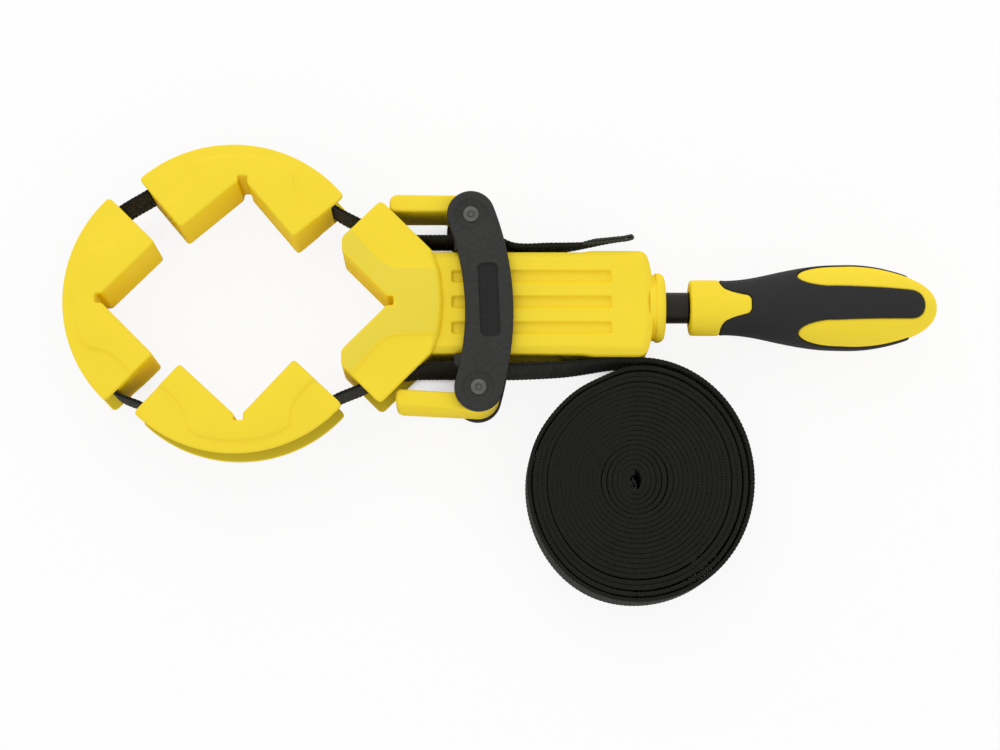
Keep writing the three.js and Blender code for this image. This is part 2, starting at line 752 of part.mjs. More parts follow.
const handle = handlePieces();
place('handle_core', handle.hard, 'yellowPlastic');
place('handle_grip', handle.grip, 'softGrip');

// Carriage: a nut block whose arms reach out through the housing, and two bridges riveted over the cams
const pivotSpread = 2 * (bandSide + bandThickness / 2 + seatGap + camReach); // between the two cam pins
const skew = rad(carriageSkew);
const bridgeRadius = ((pivotSpread / 2) ** 2 + bridgeBulge ** 2) / (2 * bridgeBulge);
const bridgeCentre = bridgeBulge - bridgeRadius;

// A place on the skewed bridges, from the middle of the line between the pins
function onBridge(x, y) {
  const point = new THREE.Vector2(x, y).rotateAround(new THREE.Vector2(), skew);
  return { x: pivotX + point.x, y: point.y };
}

function bridgeOutline() {
  const half = pivotSpread / 2;
  const turn = Math.asin(half / bridgeRadius);
  const end = arcPoints(0, bridgeHalf, turn, turn + Math.PI).slice(1, -1).map(([x, y]) => [x, y + half]);
  return outline([
    ...arcPoints(bridgeCentre, bridgeRadius + bridgeHalf, -turn, turn),
    ...end,
    ...arcPoints(bridgeCentre, bridgeRadius - bridgeHalf, turn, -turn),
    ...mirrored(end),
  ]);
}

const pegY = cheekOuter - cheekThickness / 2;
const pegX = bridgeCentre + Math.sqrt(bridgeRadius ** 2 - pegY ** 2);
const pegPlaces = [1, -1].map((side) => onBridge(pegX, side * pegY));

// face is 1 for the top bridge, whose outer face looks up, and -1 for the bottom one
function bridge(name, face) {
  const outer = axisHeight + face * axisHeight;
  const inner = outer - face * bridgeThickness;
  const span = (a, b) => [Math.min(a, b), Math.max(a, b)];
  const beyond = outer + face * cutOverrun;
  const half = pivotSpread / 2;
  const onSkew = (geometry) => toSolid(geometry.rotateZ(skew).translate(pivotX, 0, 0));
  const plate = onSkew(prismGeometry(bridgeOutline(), ...span(outer, inner), bridgeEdge));
  const pins = [1, -1].map((side) => onBridge(0, side * half));
  const holes = pins.map(({ x, y }) => (
    post(x, y, ...span(inner - face * cutOverrun, beyond), pinRadius + seatGap, 2 * smallSteps)
  ));
  const recesses = pins.map(({ x, y }) => (
    post(x, y, ...span(outer - face * ringRecessDepth, beyond), ringRecessRadius, 2 * smallSteps)
  ));
  const pegFloor = inner + face * (pegDepth + seatGap);
  const pegs = pegPlaces.map(({ x, y }) => (
    post(x, y, ...span(inner - face * cutOverrun, pegFloor), pegRadius + seatGap, smallSteps)
  ));
  const corner = panelWidth / 3;
  const side = [-1, 1].map((way) => [bridgeBulge + (way * panelWidth) / 2, panelLength / 2, corner]);
  const panelOutline = outline([...side, ...mirrored(side)]);
  const panel = onSkew(prismGeometry(panelOutline, ...span(outer - face * panelDepth, beyond)));
  place(name, cutFrom(plate, panel, ...holes, ...recesses, ...pegs), 'blackPlate');
}
bridge('top_bridge', 1);
bridge('bottom_bridge', -1);

function camPin(name, side) {
  const half = axisHeight - ringRecessDepth + seatGap;
  const headEnd = half + rivetHeadHeight;
  const upper = [
    [half, pinRadius], [half, rivetHeadRadius], [headEnd, rivetHeadRadius],
    [headEnd, rivetDimpleRadius], [half, rivetDimpleRadius * dimpleShare], [half, 0],
  ];
  const lower = upper.map(([along, radius]) => [-along, radius]).reverse();
  const mesh = place(name, turnedUpright([...lower, ...upper], 2 * smallSteps), 'brightSteel');
  const at = onBridge(0, (side * pivotSpread) / 2);
  mesh.position.set(at.x, at.y, axisHeight);
}
camPin('right_cam_pin', 1);
camPin('left_cam_pin', -1);

// The drive nut is a hexagon that fills the nut block but for its walls
function nutBlock() {
  const cheekHalfHeight = housingHeight / 2 + bridgeGap - runGap;
  const blockHalf = cavityHalf - runGap;
  const middle = box(
    pivotX - blockHalfLength, pivotX + blockHalfLength, -blockHalf, blockHalf,
    axisHeight - blockHalfHeight, axisHeight + blockHalfHeight,
  );
  const arms = box(
    pivotX - armHalfLength, pivotX + armHalfLength, -cheekOuter, cheekOuter,
    axisHeight - armHalfHeight, axisHeight + armHalfHeight,
  );
  const inside = cheekOuter - cheekThickness;
  const cheek = [
    [pivotX - cheekHalfLength, inside],
    [pivotX + cheekHalfLength, inside],
    [pivotX + cheekHalfLength, cheekOuter, cheekThickness / 3],
    [pivotX - cheekHalfLength, cheekOuter, cheekThickness / 3],
  ];
  const cheeks = [cheek, mirrored(cheek)].map((corners) => (
    prism(outline(corners), axisHeight - cheekHalfHeight, axisHeight + cheekHalfHeight)
  ));
  const pegReach = axisHeight - bridgeThickness + pegDepth;
  const pegs = pegPlaces.map(({ x, y }) => (
    post(x, y, axisHeight - pegReach, axisHeight + pegReach, pegRadius, smallSteps)
  ));
  const front = pivotX - blockHalfLength - cutOverrun;
  const bore = rod(front, pivotX + blockHalfLength + cutOverrun, threadCrest + runGap);
  const pocket = nutPrism(nutCorner + seatGap, front, nutEnd + seatGap);
  return cutFrom(joined(middle, arms, ...cheeks, ...pegs), bore, pocket);
}
const nutEnd = pivotX - blockHalfLength + seatGap + nutLength;

function nutPrism(corner, fromX, toX) {
  return turned([[fromX, 0], [fromX, corner], [toX, corner], [toX, 0]], nutSides);
}

place('nut_block', nutBlock(), 'blackPlate');
place('drive_nut', cutFrom(
  nutPrism(nutCorner, nutEnd - nutLength, nutEnd),
  rod(nutEnd - nutLength - cutOverrun, nutEnd + cutOverrun, threadCrest + runGap, 2 * smallSteps),
), 'brass');

// Cam levers
function leverCorners() {
  const polar = (turn, radius) => [Math.cos(rad(turn)) * radius, Math.sin(rad(turn)) * radius];
  const hub = hubTurns.map((turn) => polar(turn, hubRadius));
  const grown = camTurns.map((turn) => polar(turn, 1 + ((turn - camTurns[0]) / camSpan) * camRiseShare));
  const lowest = Math.max(...grown.map(([, y]) => -y));
  const cam = grown.map(([x, y]) => [(x * camReach) / lowest, (y * camReach) / lowest]);
  return [
    [-leverReach, leverInner, leverTipRadius],
    [-hubRadius, leverInner, leverInner],
    [-hubCollarRadius, -leverInner, leverInner / 2],
    ...cam.reverse(),
    ...hub.reverse(),
    [-leverReach, leverOuter, leverTipRadius],
  ];
}

function camLever(name, side) {
  const corners = leverCorners();
  const shape = outline(side > 0 ? corners : mirrored(corners));
  const half = leverHeight / 2;
  const collarHalf = axisHeight - bridgeThickness - seatGap;
  const collar = post(0, 0, -collarHalf, collarHalf, hubCollarRadius, 2 * smallSteps);
  const hole = post(0, 0, -axisHeight, axisHeight, pinRadius + seatGap, 2 * smallSteps);
  const solid = cutFrom(joined(prism(shape, -half, half, leverEdge), collar), hole);
  const mesh = place(name, solid, 'yellowPlastic');
  const at = onBridge(0, (side * pivotSpread) / 2);
  mesh.position.set(at.x, at.y, axisHeight);
  mesh.rotation.z = side < 0 ? -rad(leverLean) : 0;
}
camLever('right_cam_lever', 1);
camLever('left_cam_lever', -1);

// Band between the fixed jaw and the carriage
const carriageFront = pivotX - cheekHalfLength;
['right', 'left'].forEach((hand, i) => {
  const y = i === 0 ? bandSide : -bandSide;
  const run = [new THREE.Vector2(armBandEnd + jointGap, y), new THREE.Vector2(carriageFront - jointGap, y)];
  place(`band_side_${hand}`, bandAlong(run, axisHeight - bandWidth / 2), 'bandWeave');
});

// Free end of the band, folded back on itself and sewn
function bandTail() {
  const inY = bandSide - tailDrop;
  const rear = pivotX + cheekHalfLength;
  const straightStart = rear + 2 * cheekHalfLength * tailBendShare;
  const end = pivotX + tailEndReach - cheekHalfLength;
  const straightEnd = straightStart + tailStraight;
  const points = smoothPoints([
    [carriageFront, bandSide],
    [pivotX, bandSide],
    [rear, bandSide],
    [straightStart, inY],
    [(straightStart + straightEnd) / 2, inY],
    [straightEnd, inY + channelGap / 2],
    [end, inY + tailEndLift],
  ].map(([x, y]) => new THREE.Vector2(x, y)), tailSteps);
  const inner = offsetPath(points, -bandThickness / 2);
  const outer = points.map((point, i) => {
    const left = pathLength(points.slice(i));
    const doubled = THREE.MathUtils.smoothstep(foldLength - left, -2 * bandThickness, 0);
    return offsetPath(points, bandThickness * (doubled + 1 / 2))[i];
  });
  const roundEnd = [1, 2, 3].map((step) => {
    const turn = (Math.PI / 4) * step - Math.PI / 2;
    const way = points.at(-1).clone().sub(points.at(-2)).normalize();
    const middle = inner.at(-1).clone().lerp(outer.at(-1), 0.5);
    const across = new THREE.Vector2(-way.y, way.x);
    middle.addScaledVector(way, Math.cos(turn) * bandThickness);
    return middle.addScaledVector(across, Math.sin(turn) * bandThickness);
  });
  const shape = new THREE.Shape([...inner, ...roundEnd, ...outer.reverse()]);
  const geometry = new THREE.ExtrudeGeometry(shape, { depth: bandWidth, bevelEnabled: false });
  const top = axisHeight + bandWidth / 2;
  geometry.translate(0, 0, top - bandWidth);
  const spots = geometry.attributes.position;
  for (let i = 0; i < spots.count; i += 1) {
    const lean = tailLean * THREE.MathUtils.smoothstep(spots.getX(i), straightStart, end);
    spots.setY(i, spots.getY(i) + (lean * (top - spots.getZ(i))) / bandWidth);
  }
  place('band_tail', geometry, 'bandWeave');
}
bandTail();

// The store of band: one strip wound clockwise from its outer end, which the lead meets at the top
const rollY = -rollBelow;
function rollPoint(turns) {
  const opened = (before) => (
    THREE.MathUtils.smoothstep(turns, rollTurns - before, rollTurns - before + rollEaseTurns)
  );
  const extra = rollLoose * opened(rollLooseTurns) + rollSlack * opened(rollSlackTurns);
  const radius = rollInner + rollPitch * turns + extra;
  const turn = Math.PI / 2 - 2 * Math.PI * (rollTurns - turns);
  const x = rollX + rollDrift * (turns / rollTurns) + Math.cos(turn) * radius;
  return new THREE.Vector2(x, rollY + Math.sin(turn) * radius * rollOvalShare);
}

// The outer end runs straight for one thickness, square to the lead
const rollPath = Array.from({ length: rollTurns * rollStepsPerTurn + 1 }, (_, i) => (
  rollPoint(i / rollStepsPerTurn)
));
rollPath.push(rollPath.at(-1).clone().sub(new THREE.Vector2(bandThickness, 0)));
const rollLow = axisHeight - bandWidth / 2 - bandFall;
place('band_roll', bandAlong(rollPath, rollLow), 'bandWeave');

// Least gap of the roll to itself: from each point of its two faces to the faces of the next turn
function leastGap(path) {
  const faces = [1, -1].map((side) => (
    offsetPath(path, (side * bandThickness) / 2).map(({ x, y }) => new THREE.Vector3(x, y, 0))
  ));
  const segment = new THREE.Line3();
  const nearest = new THREE.Vector3();
  let least = Infinity;
  faces.forEach((face, side) => face.forEach((point, i) => {
    const other = faces[1 - side];
    const first = i + rollStepsPerTurn - gapSearchSteps;
    const last = Math.min(i + rollStepsPerTurn + gapSearchSteps, other.length - 1);
    for (let j = first; j < last; j += 1) {
      segment.set(other[j], other[j + 1]);
      segment.closestPointToPoint(point, true, nearest);
      least = Math.min(least, nearest.distanceTo(point));
    }
  }));
  return least;
}
console.log(`least gap between the turns of the roll: ${leastGap(rollPath).toFixed(2)} mm`);
console.log(`band in the roll: ${pathLength(rollPath).toFixed(0)} mm`);
console.log(`band round the jaws: ${pathLength(loop).toFixed(0)} mm`);

// Lead from the carriage to the roll, which comes down from the tool's height to the table
function bandLead() {
  const start = new THREE.Vector2(carriageFront, -bandSide);
  const end = rollPath.at(-1);
  const rear = pivotX + cheekHalfLength;
  const points = smoothPoints([
    [start.x, start.y],
    [pivotX, start.y],
    [rear, start.y],
    [rear + cheekHalfLength, start.y],
    [(rear + end.x) / 2, (start.y * 2 + end.y) / 3],
    [end.x - cheekHalfLength, end.y],
    [end.x - jointGap, end.y],
  ].map(([x, y]) => new THREE.Vector2(x, y)), leadSteps);
  const geometry = bandAlong(points, axisHeight - bandWidth / 2);
  const spots = geometry.attributes.position;
  for (let i = 0; i < spots.count; i += 1) {
    const fall = bandFall * THREE.MathUtils.smoothstep(spots.getX(i), rear, end.x - cheekHalfLength / 2);
    spots.setZ(i, spots.getZ(i) - fall);
  }
  place('band_lead', geometry, 'bandWeave');
}
bandLead();

export default part;
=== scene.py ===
# Looks of a band clamp: four yellow V jaws on a woven band, a yellow housing with its screw and
# handle, and a black carriage with two cam levers. Sizes are in millimetres until a mesh is made.
import json
import math

import bmesh
import bpy
import numpy as np
from mathutils import Matrix, Vector
from mathutils.geometry import delaunay_2d_cdt


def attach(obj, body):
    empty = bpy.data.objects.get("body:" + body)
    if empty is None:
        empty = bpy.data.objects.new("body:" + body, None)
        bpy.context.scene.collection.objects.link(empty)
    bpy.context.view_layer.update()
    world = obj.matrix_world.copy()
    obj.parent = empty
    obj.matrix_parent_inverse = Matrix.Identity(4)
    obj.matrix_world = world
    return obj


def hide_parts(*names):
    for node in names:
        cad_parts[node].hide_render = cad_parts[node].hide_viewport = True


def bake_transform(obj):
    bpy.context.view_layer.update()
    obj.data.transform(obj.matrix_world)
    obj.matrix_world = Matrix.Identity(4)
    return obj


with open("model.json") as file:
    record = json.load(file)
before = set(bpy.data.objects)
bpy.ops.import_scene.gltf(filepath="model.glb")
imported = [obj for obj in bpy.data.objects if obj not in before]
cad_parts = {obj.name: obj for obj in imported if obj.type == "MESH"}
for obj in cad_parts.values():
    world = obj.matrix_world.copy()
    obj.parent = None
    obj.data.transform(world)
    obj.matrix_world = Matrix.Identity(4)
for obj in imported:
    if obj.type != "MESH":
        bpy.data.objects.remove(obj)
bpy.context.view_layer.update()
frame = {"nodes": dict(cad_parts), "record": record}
scene = bpy.context.scene
mm = 0.001
axisZ = 17.5  # height of the tool's axis over the table
apexX = -44.3  # the fixed jaw's apex along the tool
sharpAngle = 32  # degrees between two faces from which their edge is shaded sharp

# camera, light and floor
view = {"lens": 85.824, "place": (-20.62, -178.67, 952.57), "turn": (9.212, -1.140, -0.208)}
studio = {
    "skyLevel": 0.93,
    "lampWatts": 2.8, "lampSize": 0.8, "lampPlace": (-0.35, 1.0, 0.9),
    "floorColour": (0.9, 0.9, 0.9), "floorSize": 3.0, "floorGlowShare": 0.88,
    "gapReach": 0.03, "gapDark": 0.1, "gapPale": 0.14,
}


class Wire:
    # one output of a node; sums on it are written as they are read
    def __init__(self, nodes, socket):
        self.nodes = nodes
        self.socket = socket

    def sum(self, operation, first, second):
        return self.nodes.node("ShaderNodeMath", {"operation": operation}, [first, second])

    def __add__(self, other):
        return self.sum("ADD", self, other)

    def __radd__(self, other):
        return self.sum("ADD", other, self)

    def __sub__(self, other):
        return self.sum("SUBTRACT", self, other)

    def __rsub__(self, other):
        return self.sum("SUBTRACT", other, self)

    def __mul__(self, other):
        return self.sum("MULTIPLY", self, other)

    def __rmul__(self, other):
        return self.sum("MULTIPLY", other, self)


class Nodes:
    # the nodes of a material or of the world
    def __init__(self, tree):
        self.tree = tree

    def node(self, kind, settings=None, inputs=(), output=0):
        made = self.tree.nodes.new(kind)
        for key, value in (settings or {}).items():
            setattr(made, key, value)
        for key, value in inputs.items() if isinstance(inputs, dict) else enumerate(inputs):
            self.feed(made.inputs[key], value)
        return Wire(self, made.outputs[output])

    def feed(self, socket, value):
        if isinstance(value, Wire):
            self.tree.links.new(value.socket, socket)
        else:
            socket.default_value = value


class Finish(Nodes):
    # a material, with its shader's fixed values set straight on the sockets
    def __init__(self, name, fixed):
        self.material = bpy.data.materials.new(name)
        self.material.use_nodes = True
        super().__init__(self.material.node_tree)
        self.shader = self.tree.nodes["Principled BSDF"]
        for key, value in fixed.items():
            self.shader.inputs[key].default_value = value

    def shade(self, links):
        for key, value in links.items():
            self.feed(self.shader.inputs[key], value)
        return self.material

    # cloudy value from 0 to 1 in the object's own space
    def noise(self, scale, detail, roughness=0.5):
        return self.node("ShaderNodeTexNoise", inputs={
            "Vector": self.node("ShaderNodeTexCoord", output="Object"),
            "Scale": scale, "Detail": detail, "Roughness": roughness,
        })

    def colours(self, share, first, second):
        first, second = (value if isinstance(value, Wire) else (*value, 1) for value in (first, second))
        return self.node("ShaderNodeMix", {"data_type": "RGBA"}, {0: share, 6: first, 7: second}, 2)

    def remap(self, value, low, high):
        return self.node("ShaderNodeMapRange", {"interpolation_type": "SMOOTHSTEP"}, {
            "Value": value, "From Min": low, "From Max": high,
        })

    def bump(self, height, distance, strength):
        return self.node("ShaderNodeBump", inputs={
            "Height": height, "Distance": distance, "Strength": strength,
        })

    def facing(self):
        return self.node("ShaderNodeLayerWeight", inputs={"Blend": 0.5}, output="Facing")

    # how open the surface lies, from 0 in a deep gap to 1
    def openness(self, samples, reach):
        return self.node("ShaderNodeAmbientOcclusion", {"samples": samples}, {"Distance": reach}, "AO")


def makeCamera():
    data = bpy.data.cameras.new("camera")
    camera = bpy.data.objects.new("camera", data)
    scene.collection.objects.link(camera)
    data.lens = view["lens"]
    data.sensor_width = 36
    data.clip_end = 20
    camera.location = Vector(view["place"]) * mm
    camera.rotation_euler = [math.radians(angle) for angle in view["turn"]]
    scene.camera = camera


def makeStudio():
    scene.view_settings.view_transform = "Standard"
    world = bpy.data.worlds.new("studio")
    scene.world = world
    world.use_nodes = True
    sky = Nodes(world.node_tree)
    background = world.node_tree.nodes["Background"].inputs
    background["Color"].default_value = (1, 1, 1, 1)
    # white where it is seen, and dimmer as light on the tool
    seen = sky.node("ShaderNodeMath", {"operation": "MAXIMUM"}, [
        sky.node("ShaderNodeLightPath", output=ray) for ray in ("Is Camera Ray", "Is Transmission Ray")
    ])
    level = sky.node("ShaderNodeMapRange", inputs={"Value": seen, "To Min": studio["skyLevel"]})
    sky.feed(background["Strength"], level)
    lamp = bpy.data.lights.new("key", "AREA")
    lamp.energy = studio["lampWatts"]
    lamp.size = studio["lampSize"]
    holder = bpy.data.objects.new("key", lamp)
    scene.collection.objects.link(holder)
    holder.location = studio["lampPlace"]
    holder.rotation_euler = (-holder.location).to_track_quat("-Z", "Y").to_euler()


def makeFloor():
    half = studio["floorSize"] / 2
    mesh = bpy.data.meshes.new("floor")
    corners = [(x * half, y * half, 0) for x, y in ((-1, -1), (1, -1), (1, 1), (-1, 1))]
    mesh.from_pydata(corners, [], [(0, 1, 2, 3)])
    floor = bpy.data.objects.new("floor", mesh)
    floor.location.z = -0.0002
    scene.collection.objects.link(floor)
    finish = Finish("floorWhite", {"Base Color": (*studio["floorColour"], 1), "Roughness": 0.9})
    # narrow gaps between pieces stay dark
    open = finish.openness(24, studio["gapReach"])
    share = finish.remap(open, studio["gapDark"], studio["gapPale"]) * studio["floorGlowShare"]
    mix = finish.node("ShaderNodeMixShader", inputs={
        0: finish.node("ShaderNodeLightPath", output="Is Camera Ray") * share,
        1: Wire(finish, finish.shader.outputs[0]), 2: finish.node("ShaderNodeEmission"),
    })
    finish.tree.links.new(mix.socket, finish.tree.nodes["Material Output"].inputs["Surface"])
    mesh.materials.append(finish.material)


makeCamera()
makeStudio()
makeFloor()
print("camera, light and floor made")


# finishes
def yellowPlastic():
    finish = Finish("yellowPlastic", {"Specular IOR Level": 0.12})
    cloud = finish.noise(45, 3)
    grain = finish.noise(2600, 2)
    flow = finish.noise(260, 2)
    # painted shade: creases, gaps and recesses go a deeper, darker orange by the occlusion value; painted
    # light: faces seen edge-on, the shaded walls, get a brighter, deeper yellow
    # the occlusion value that places the painted shade
    open = finish.openness(6, 0.005)
    plain = finish.colours(cloud, (0.925, 0.706, 0.039), (0.885, 0.671, 0.034))
    # painted light: the yellow goes brighter and deeper as a face is seen more edge-on
    plain = finish.colours(finish.remap(finish.facing(), 0.4, 0.8), plain, (1.0, 0.735, 0.001))
    return finish.shade({
        # painted shade: the darker orange goes where the occlusion value is low
        "Base Color": finish.colours(finish.remap(open, 0.12, 0.62), (0.70, 0.465, 0.001), plain),
        "Roughness": 0.44 + 0.12 * cloud + 0.05 * grain,
        "Normal": finish.bump(grain + 0.8 * flow, 0.00006, 0.5),
    })


def padPlastic():
    # the fixed jaw's pad, matt and a little paler
    finish = Finish("padPlastic", {"Specular IOR Level": 0.2})
    cloud = finish.noise(70, 3)
    grain = finish.noise(2200, 3)
    return finish.shade({
        "Base Color": finish.colours(cloud, (0.835, 0.665, 0.056), (0.795, 0.628, 0.047)),
        "Roughness": 0.6 + 0.12 * grain,
        "Normal": finish.bump(grain, 0.0001, 0.6),
    })


def blackPlastic(name, dark, pale):
    finish = Finish(name, {"Specular IOR Level": 0.3})
    cloud = finish.noise(600, 4, 0.6)
    grain = finish.noise(1500, 3)
    return finish.shade({
        "Base Color": finish.colours(finish.remap(cloud, 0.3, 0.7), dark, pale),
        "Roughness": 0.48 + 0.14 * grain,
        "Normal": finish.bump(grain + cloud, 0.00016, 0.8),
    })


def softGrip():
    finish = Finish("softGrip", {"Specular IOR Level": 0.25})
    cloud = finish.noise(70, 3)
    grain = finish.noise(1500, 4, 0.65)
    return finish.shade({
        "Base Color": finish.colours(cloud, (0.015, 0.015, 0.015), (0.022, 0.022, 0.022)),
        "Roughness": 0.62 + 0.16 * grain,
        "Normal": finish.bump(grain, 0.00012, 0.7),
    })


def steel(name, dark, pale, roughness, metallic):
    finish = Finish(name, {"Metallic": metallic})
    cloud = finish.noise(240, 4, 0.6)
    fine = finish.noise(3200, 2)
    return finish.shade({
        "Base Color": finish.colours(cloud, dark, pale),
        "Roughness": roughness - 0.08 + 0.16 * cloud,
        "Normal": finish.bump(fine, 0.00003, 0.6),
    })


bandWeaveSizes = {"ribPitch": 1.15, "yarnPitch": 0.8}


# ribs run across the band; UV is in millimetres, along the band and up its width
def bandWeave(name, dark, pale, broad):
    finish = Finish(name, {"Specular IOR Level": 0.12, "Sheen Weight": 0.04, "Sheen Roughness": 0.6})
    spot = finish.node("ShaderNodeUVMap", {"uv_map": "weave"})
    along, up = (finish.node("ShaderNodeSeparateXYZ", inputs=[spot], output=axis) for axis in ("X", "Y"))
    turn = 2 * math.pi

    def wave(value):
        return finish.node("ShaderNodeMath", {"operation": "SINE"}, [value]) * 0.5 + 0.5
    rib = wave(along * (turn / bandWeaveSizes["ribPitch"]))
    yarn = wave(up * (turn / bandWeaveSizes["yarnPitch"]) + rib * 2.0)
    cloud = finish.noise(420, 3)
    height = 0.65 * rib + 0.35 * yarn
    share = 0.55 * height + 0.45 * cloud
    # painted light: faces seen at a grazing angle, mostly the band's broad sides, are paler than faces seen
    # head-on
    sides = finish.colours(share, [v * broad for v in dark], [v * broad for v in pale])
    edges = finish.colours(share, dark, pale)
    return finish.shade({
        # painted light: the paler colours go to faces seen more edge-on
        "Base Color": finish.colours(finish.remap(finish.facing(), 0.4, 0.75), edges, sides),
        "Roughness": 0.95 - 0.2 * height,
        "Normal": finish.bump(height, 0.0003, 0.8),
    })


yellow = yellowPlastic()
padYellow = padPlastic()
black = blackPlastic("blackPlastic", (0.017, 0.017, 0.0155), (0.026, 0.026, 0.0245))
# darker plastic for the panel's recessed floor: partly the tone of its lettering, which is left off, and partly
# painted shade in the recess and between the letters
panelLetteringAndShade = blackPlastic("panelLetteringAndShade", (0.003, 0.003, 0.0027), (0.0065, 0.0065, 0.006))
grip = softGrip()
# the last number sets how much paler the painted light makes faces seen at a grazing angle
weave = bandWeave("bandWeave", (0.0025, 0.0025, 0.0018), (0.0155, 0.0158, 0.0118), 2.1)
paleWeave = bandWeave("bandWeaveWorn", (0.02, 0.021, 0.015), (0.06, 0.063, 0.047), 1.15)
brightSteel = steel("brightSteel", (0.078, 0.078, 0.074), (0.172, 0.172, 0.168), 0.5, 0.85)
blackSteel = steel("blackSteel", (0.009, 0.008, 0.006), (0.017, 0.014, 0.011), 0.46, 0.5)
brass = steel("nutBrass", (0.50, 0.36, 0.15), (0.60, 0.44, 0.20), 0.38, 0.9)
print("finishes made")


# outlines and shells
def outline(corners, steps=7):
    # closed outline of [x, y] or [x, y, radius] corners, rounded as a quadratic curve
    spots = [Vector(corner[:2]) for corner in corners]
    points = []
    for i, spot in enumerate(spots):
        radius = corners[i][2] if len(corners[i]) > 2 else 0
        if not radius:
            points.append(spot)
            continue
        toBefore, toAfter = spots[i - 1] - spot, spots[(i + 1) % len(spots)] - spot
        start = spot + toBefore.normalized() * min(radius, toBefore.length / 2)
        end = spot + toAfter.normalized() * min(radius, toAfter.length / 2)
        for step in range(steps + 1):
            share = step / steps
            points.append(start.lerp(spot, share).lerp(spot.lerp(end, share), share))
    return points


def mirrored(points):
    return [[point[0], -point[1], *point[2:]] for point in reversed(points)]


def spaced(points, gap):
    # the closed outline with no edge longer than gap, and no point twice
    result = []
    for i, point in enumerate(points):
        after = points[(i + 1) % len(points)]
        length = (after - point).length
        if length < 1e-4:
            continue
        count = max(1, math.ceil(length / gap))
        result += [point.lerp(after, step / count) for step in range(count)]
    return result


def each(value, count):
    # a value for each point of a line
    return value if hasattr(value, "__len__") else [value] * count


def leftOf(way):
    return Vector((-way.y, way.x))


def inset(points, distance):
    # the closed outline drawn in by a distance, or one for each point, along the lines that halve its corners
    drawn = each(distance, len(points))
    result = []
    for i, point in enumerate(points):
        before = (point - points[i - 1]).normalized()
        after = (points[(i + 1) % len(points)] - point).normalized()
        across = Vector((-before.y - after.y, before.x + after.x))
        reach = max(1 + before.dot(after), 0.4)
        result.append(point + across * (drawn[i] / reach))
    return result


def anticlockwise(points):
    area = sum(a.x * b.y - b.x * a.y for a, b in zip(points, points[1:] + points[:1]))
    return points if area > 0 else points[::-1]


def spread(start, end, steps):
    return [start + (end - start) * i / steps for i in range(steps + 1)]


def arc(centre, radius, start, end, steps):
    return [[centre + radius * math.cos(t), radius * math.sin(t)] for t in spread(start, end, steps)]


def within(x, y, polygon):
    # signed distance of many places from a closed outline, positive inside
    a = np.array([p[:2] for p in polygon], float)
    b = np.roll(a, -1, axis=0)
    px, py = np.asarray(x, float)[:, None], np.asarray(y, float)[:, None]
    dx, dy = b[:, 0] - a[:, 0], b[:, 1] - a[:, 1]
    share = np.clip(((px - a[:, 0]) * dx + (py - a[:, 1]) * dy) / np.maximum(dx * dx + dy * dy, 1e-12), 0, 1)
    away = np.hypot(px - a[:, 0] - share * dx, py - a[:, 1] - share * dy).min(axis=1)
    crosses = (a[:, 1] > py) != (b[:, 1] > py)
    with np.errstate(divide="ignore", invalid="ignore"):
        at = a[:, 0] + (py - a[:, 1]) * dx / np.where(dy == 0, 1e-12, dy)
    inside = (crosses & (px < at)).sum(axis=1) % 2 == 1
    return np.where(inside, away, -away)


def smooth(share):
    share = np.clip(share, 0, 1)
    return share * share * (3 - 2 * share)


def fillet(radius, steps=4):
    # pairs of inset and drop that round an edge
    turns = [math.pi / 2 * i / steps for i in range(steps + 1)]
    return [(radius * (1 - math.cos(t)), radius * (1 - math.sin(t))) for t in turns]


def slopeLines(rim, start, end):
    # closed lines along which a soft edge rises, from one distance inside an outline to another
    lines = [inset(rim, distance) for distance in spread(start, end, 4)]
    return [[*line, line[0]] for line in lines]


def levels(top, line):
    # the height of a broad side at each point of a line
    return top(np.array([p.x for p in line]), np.array([p.y for p in line]))


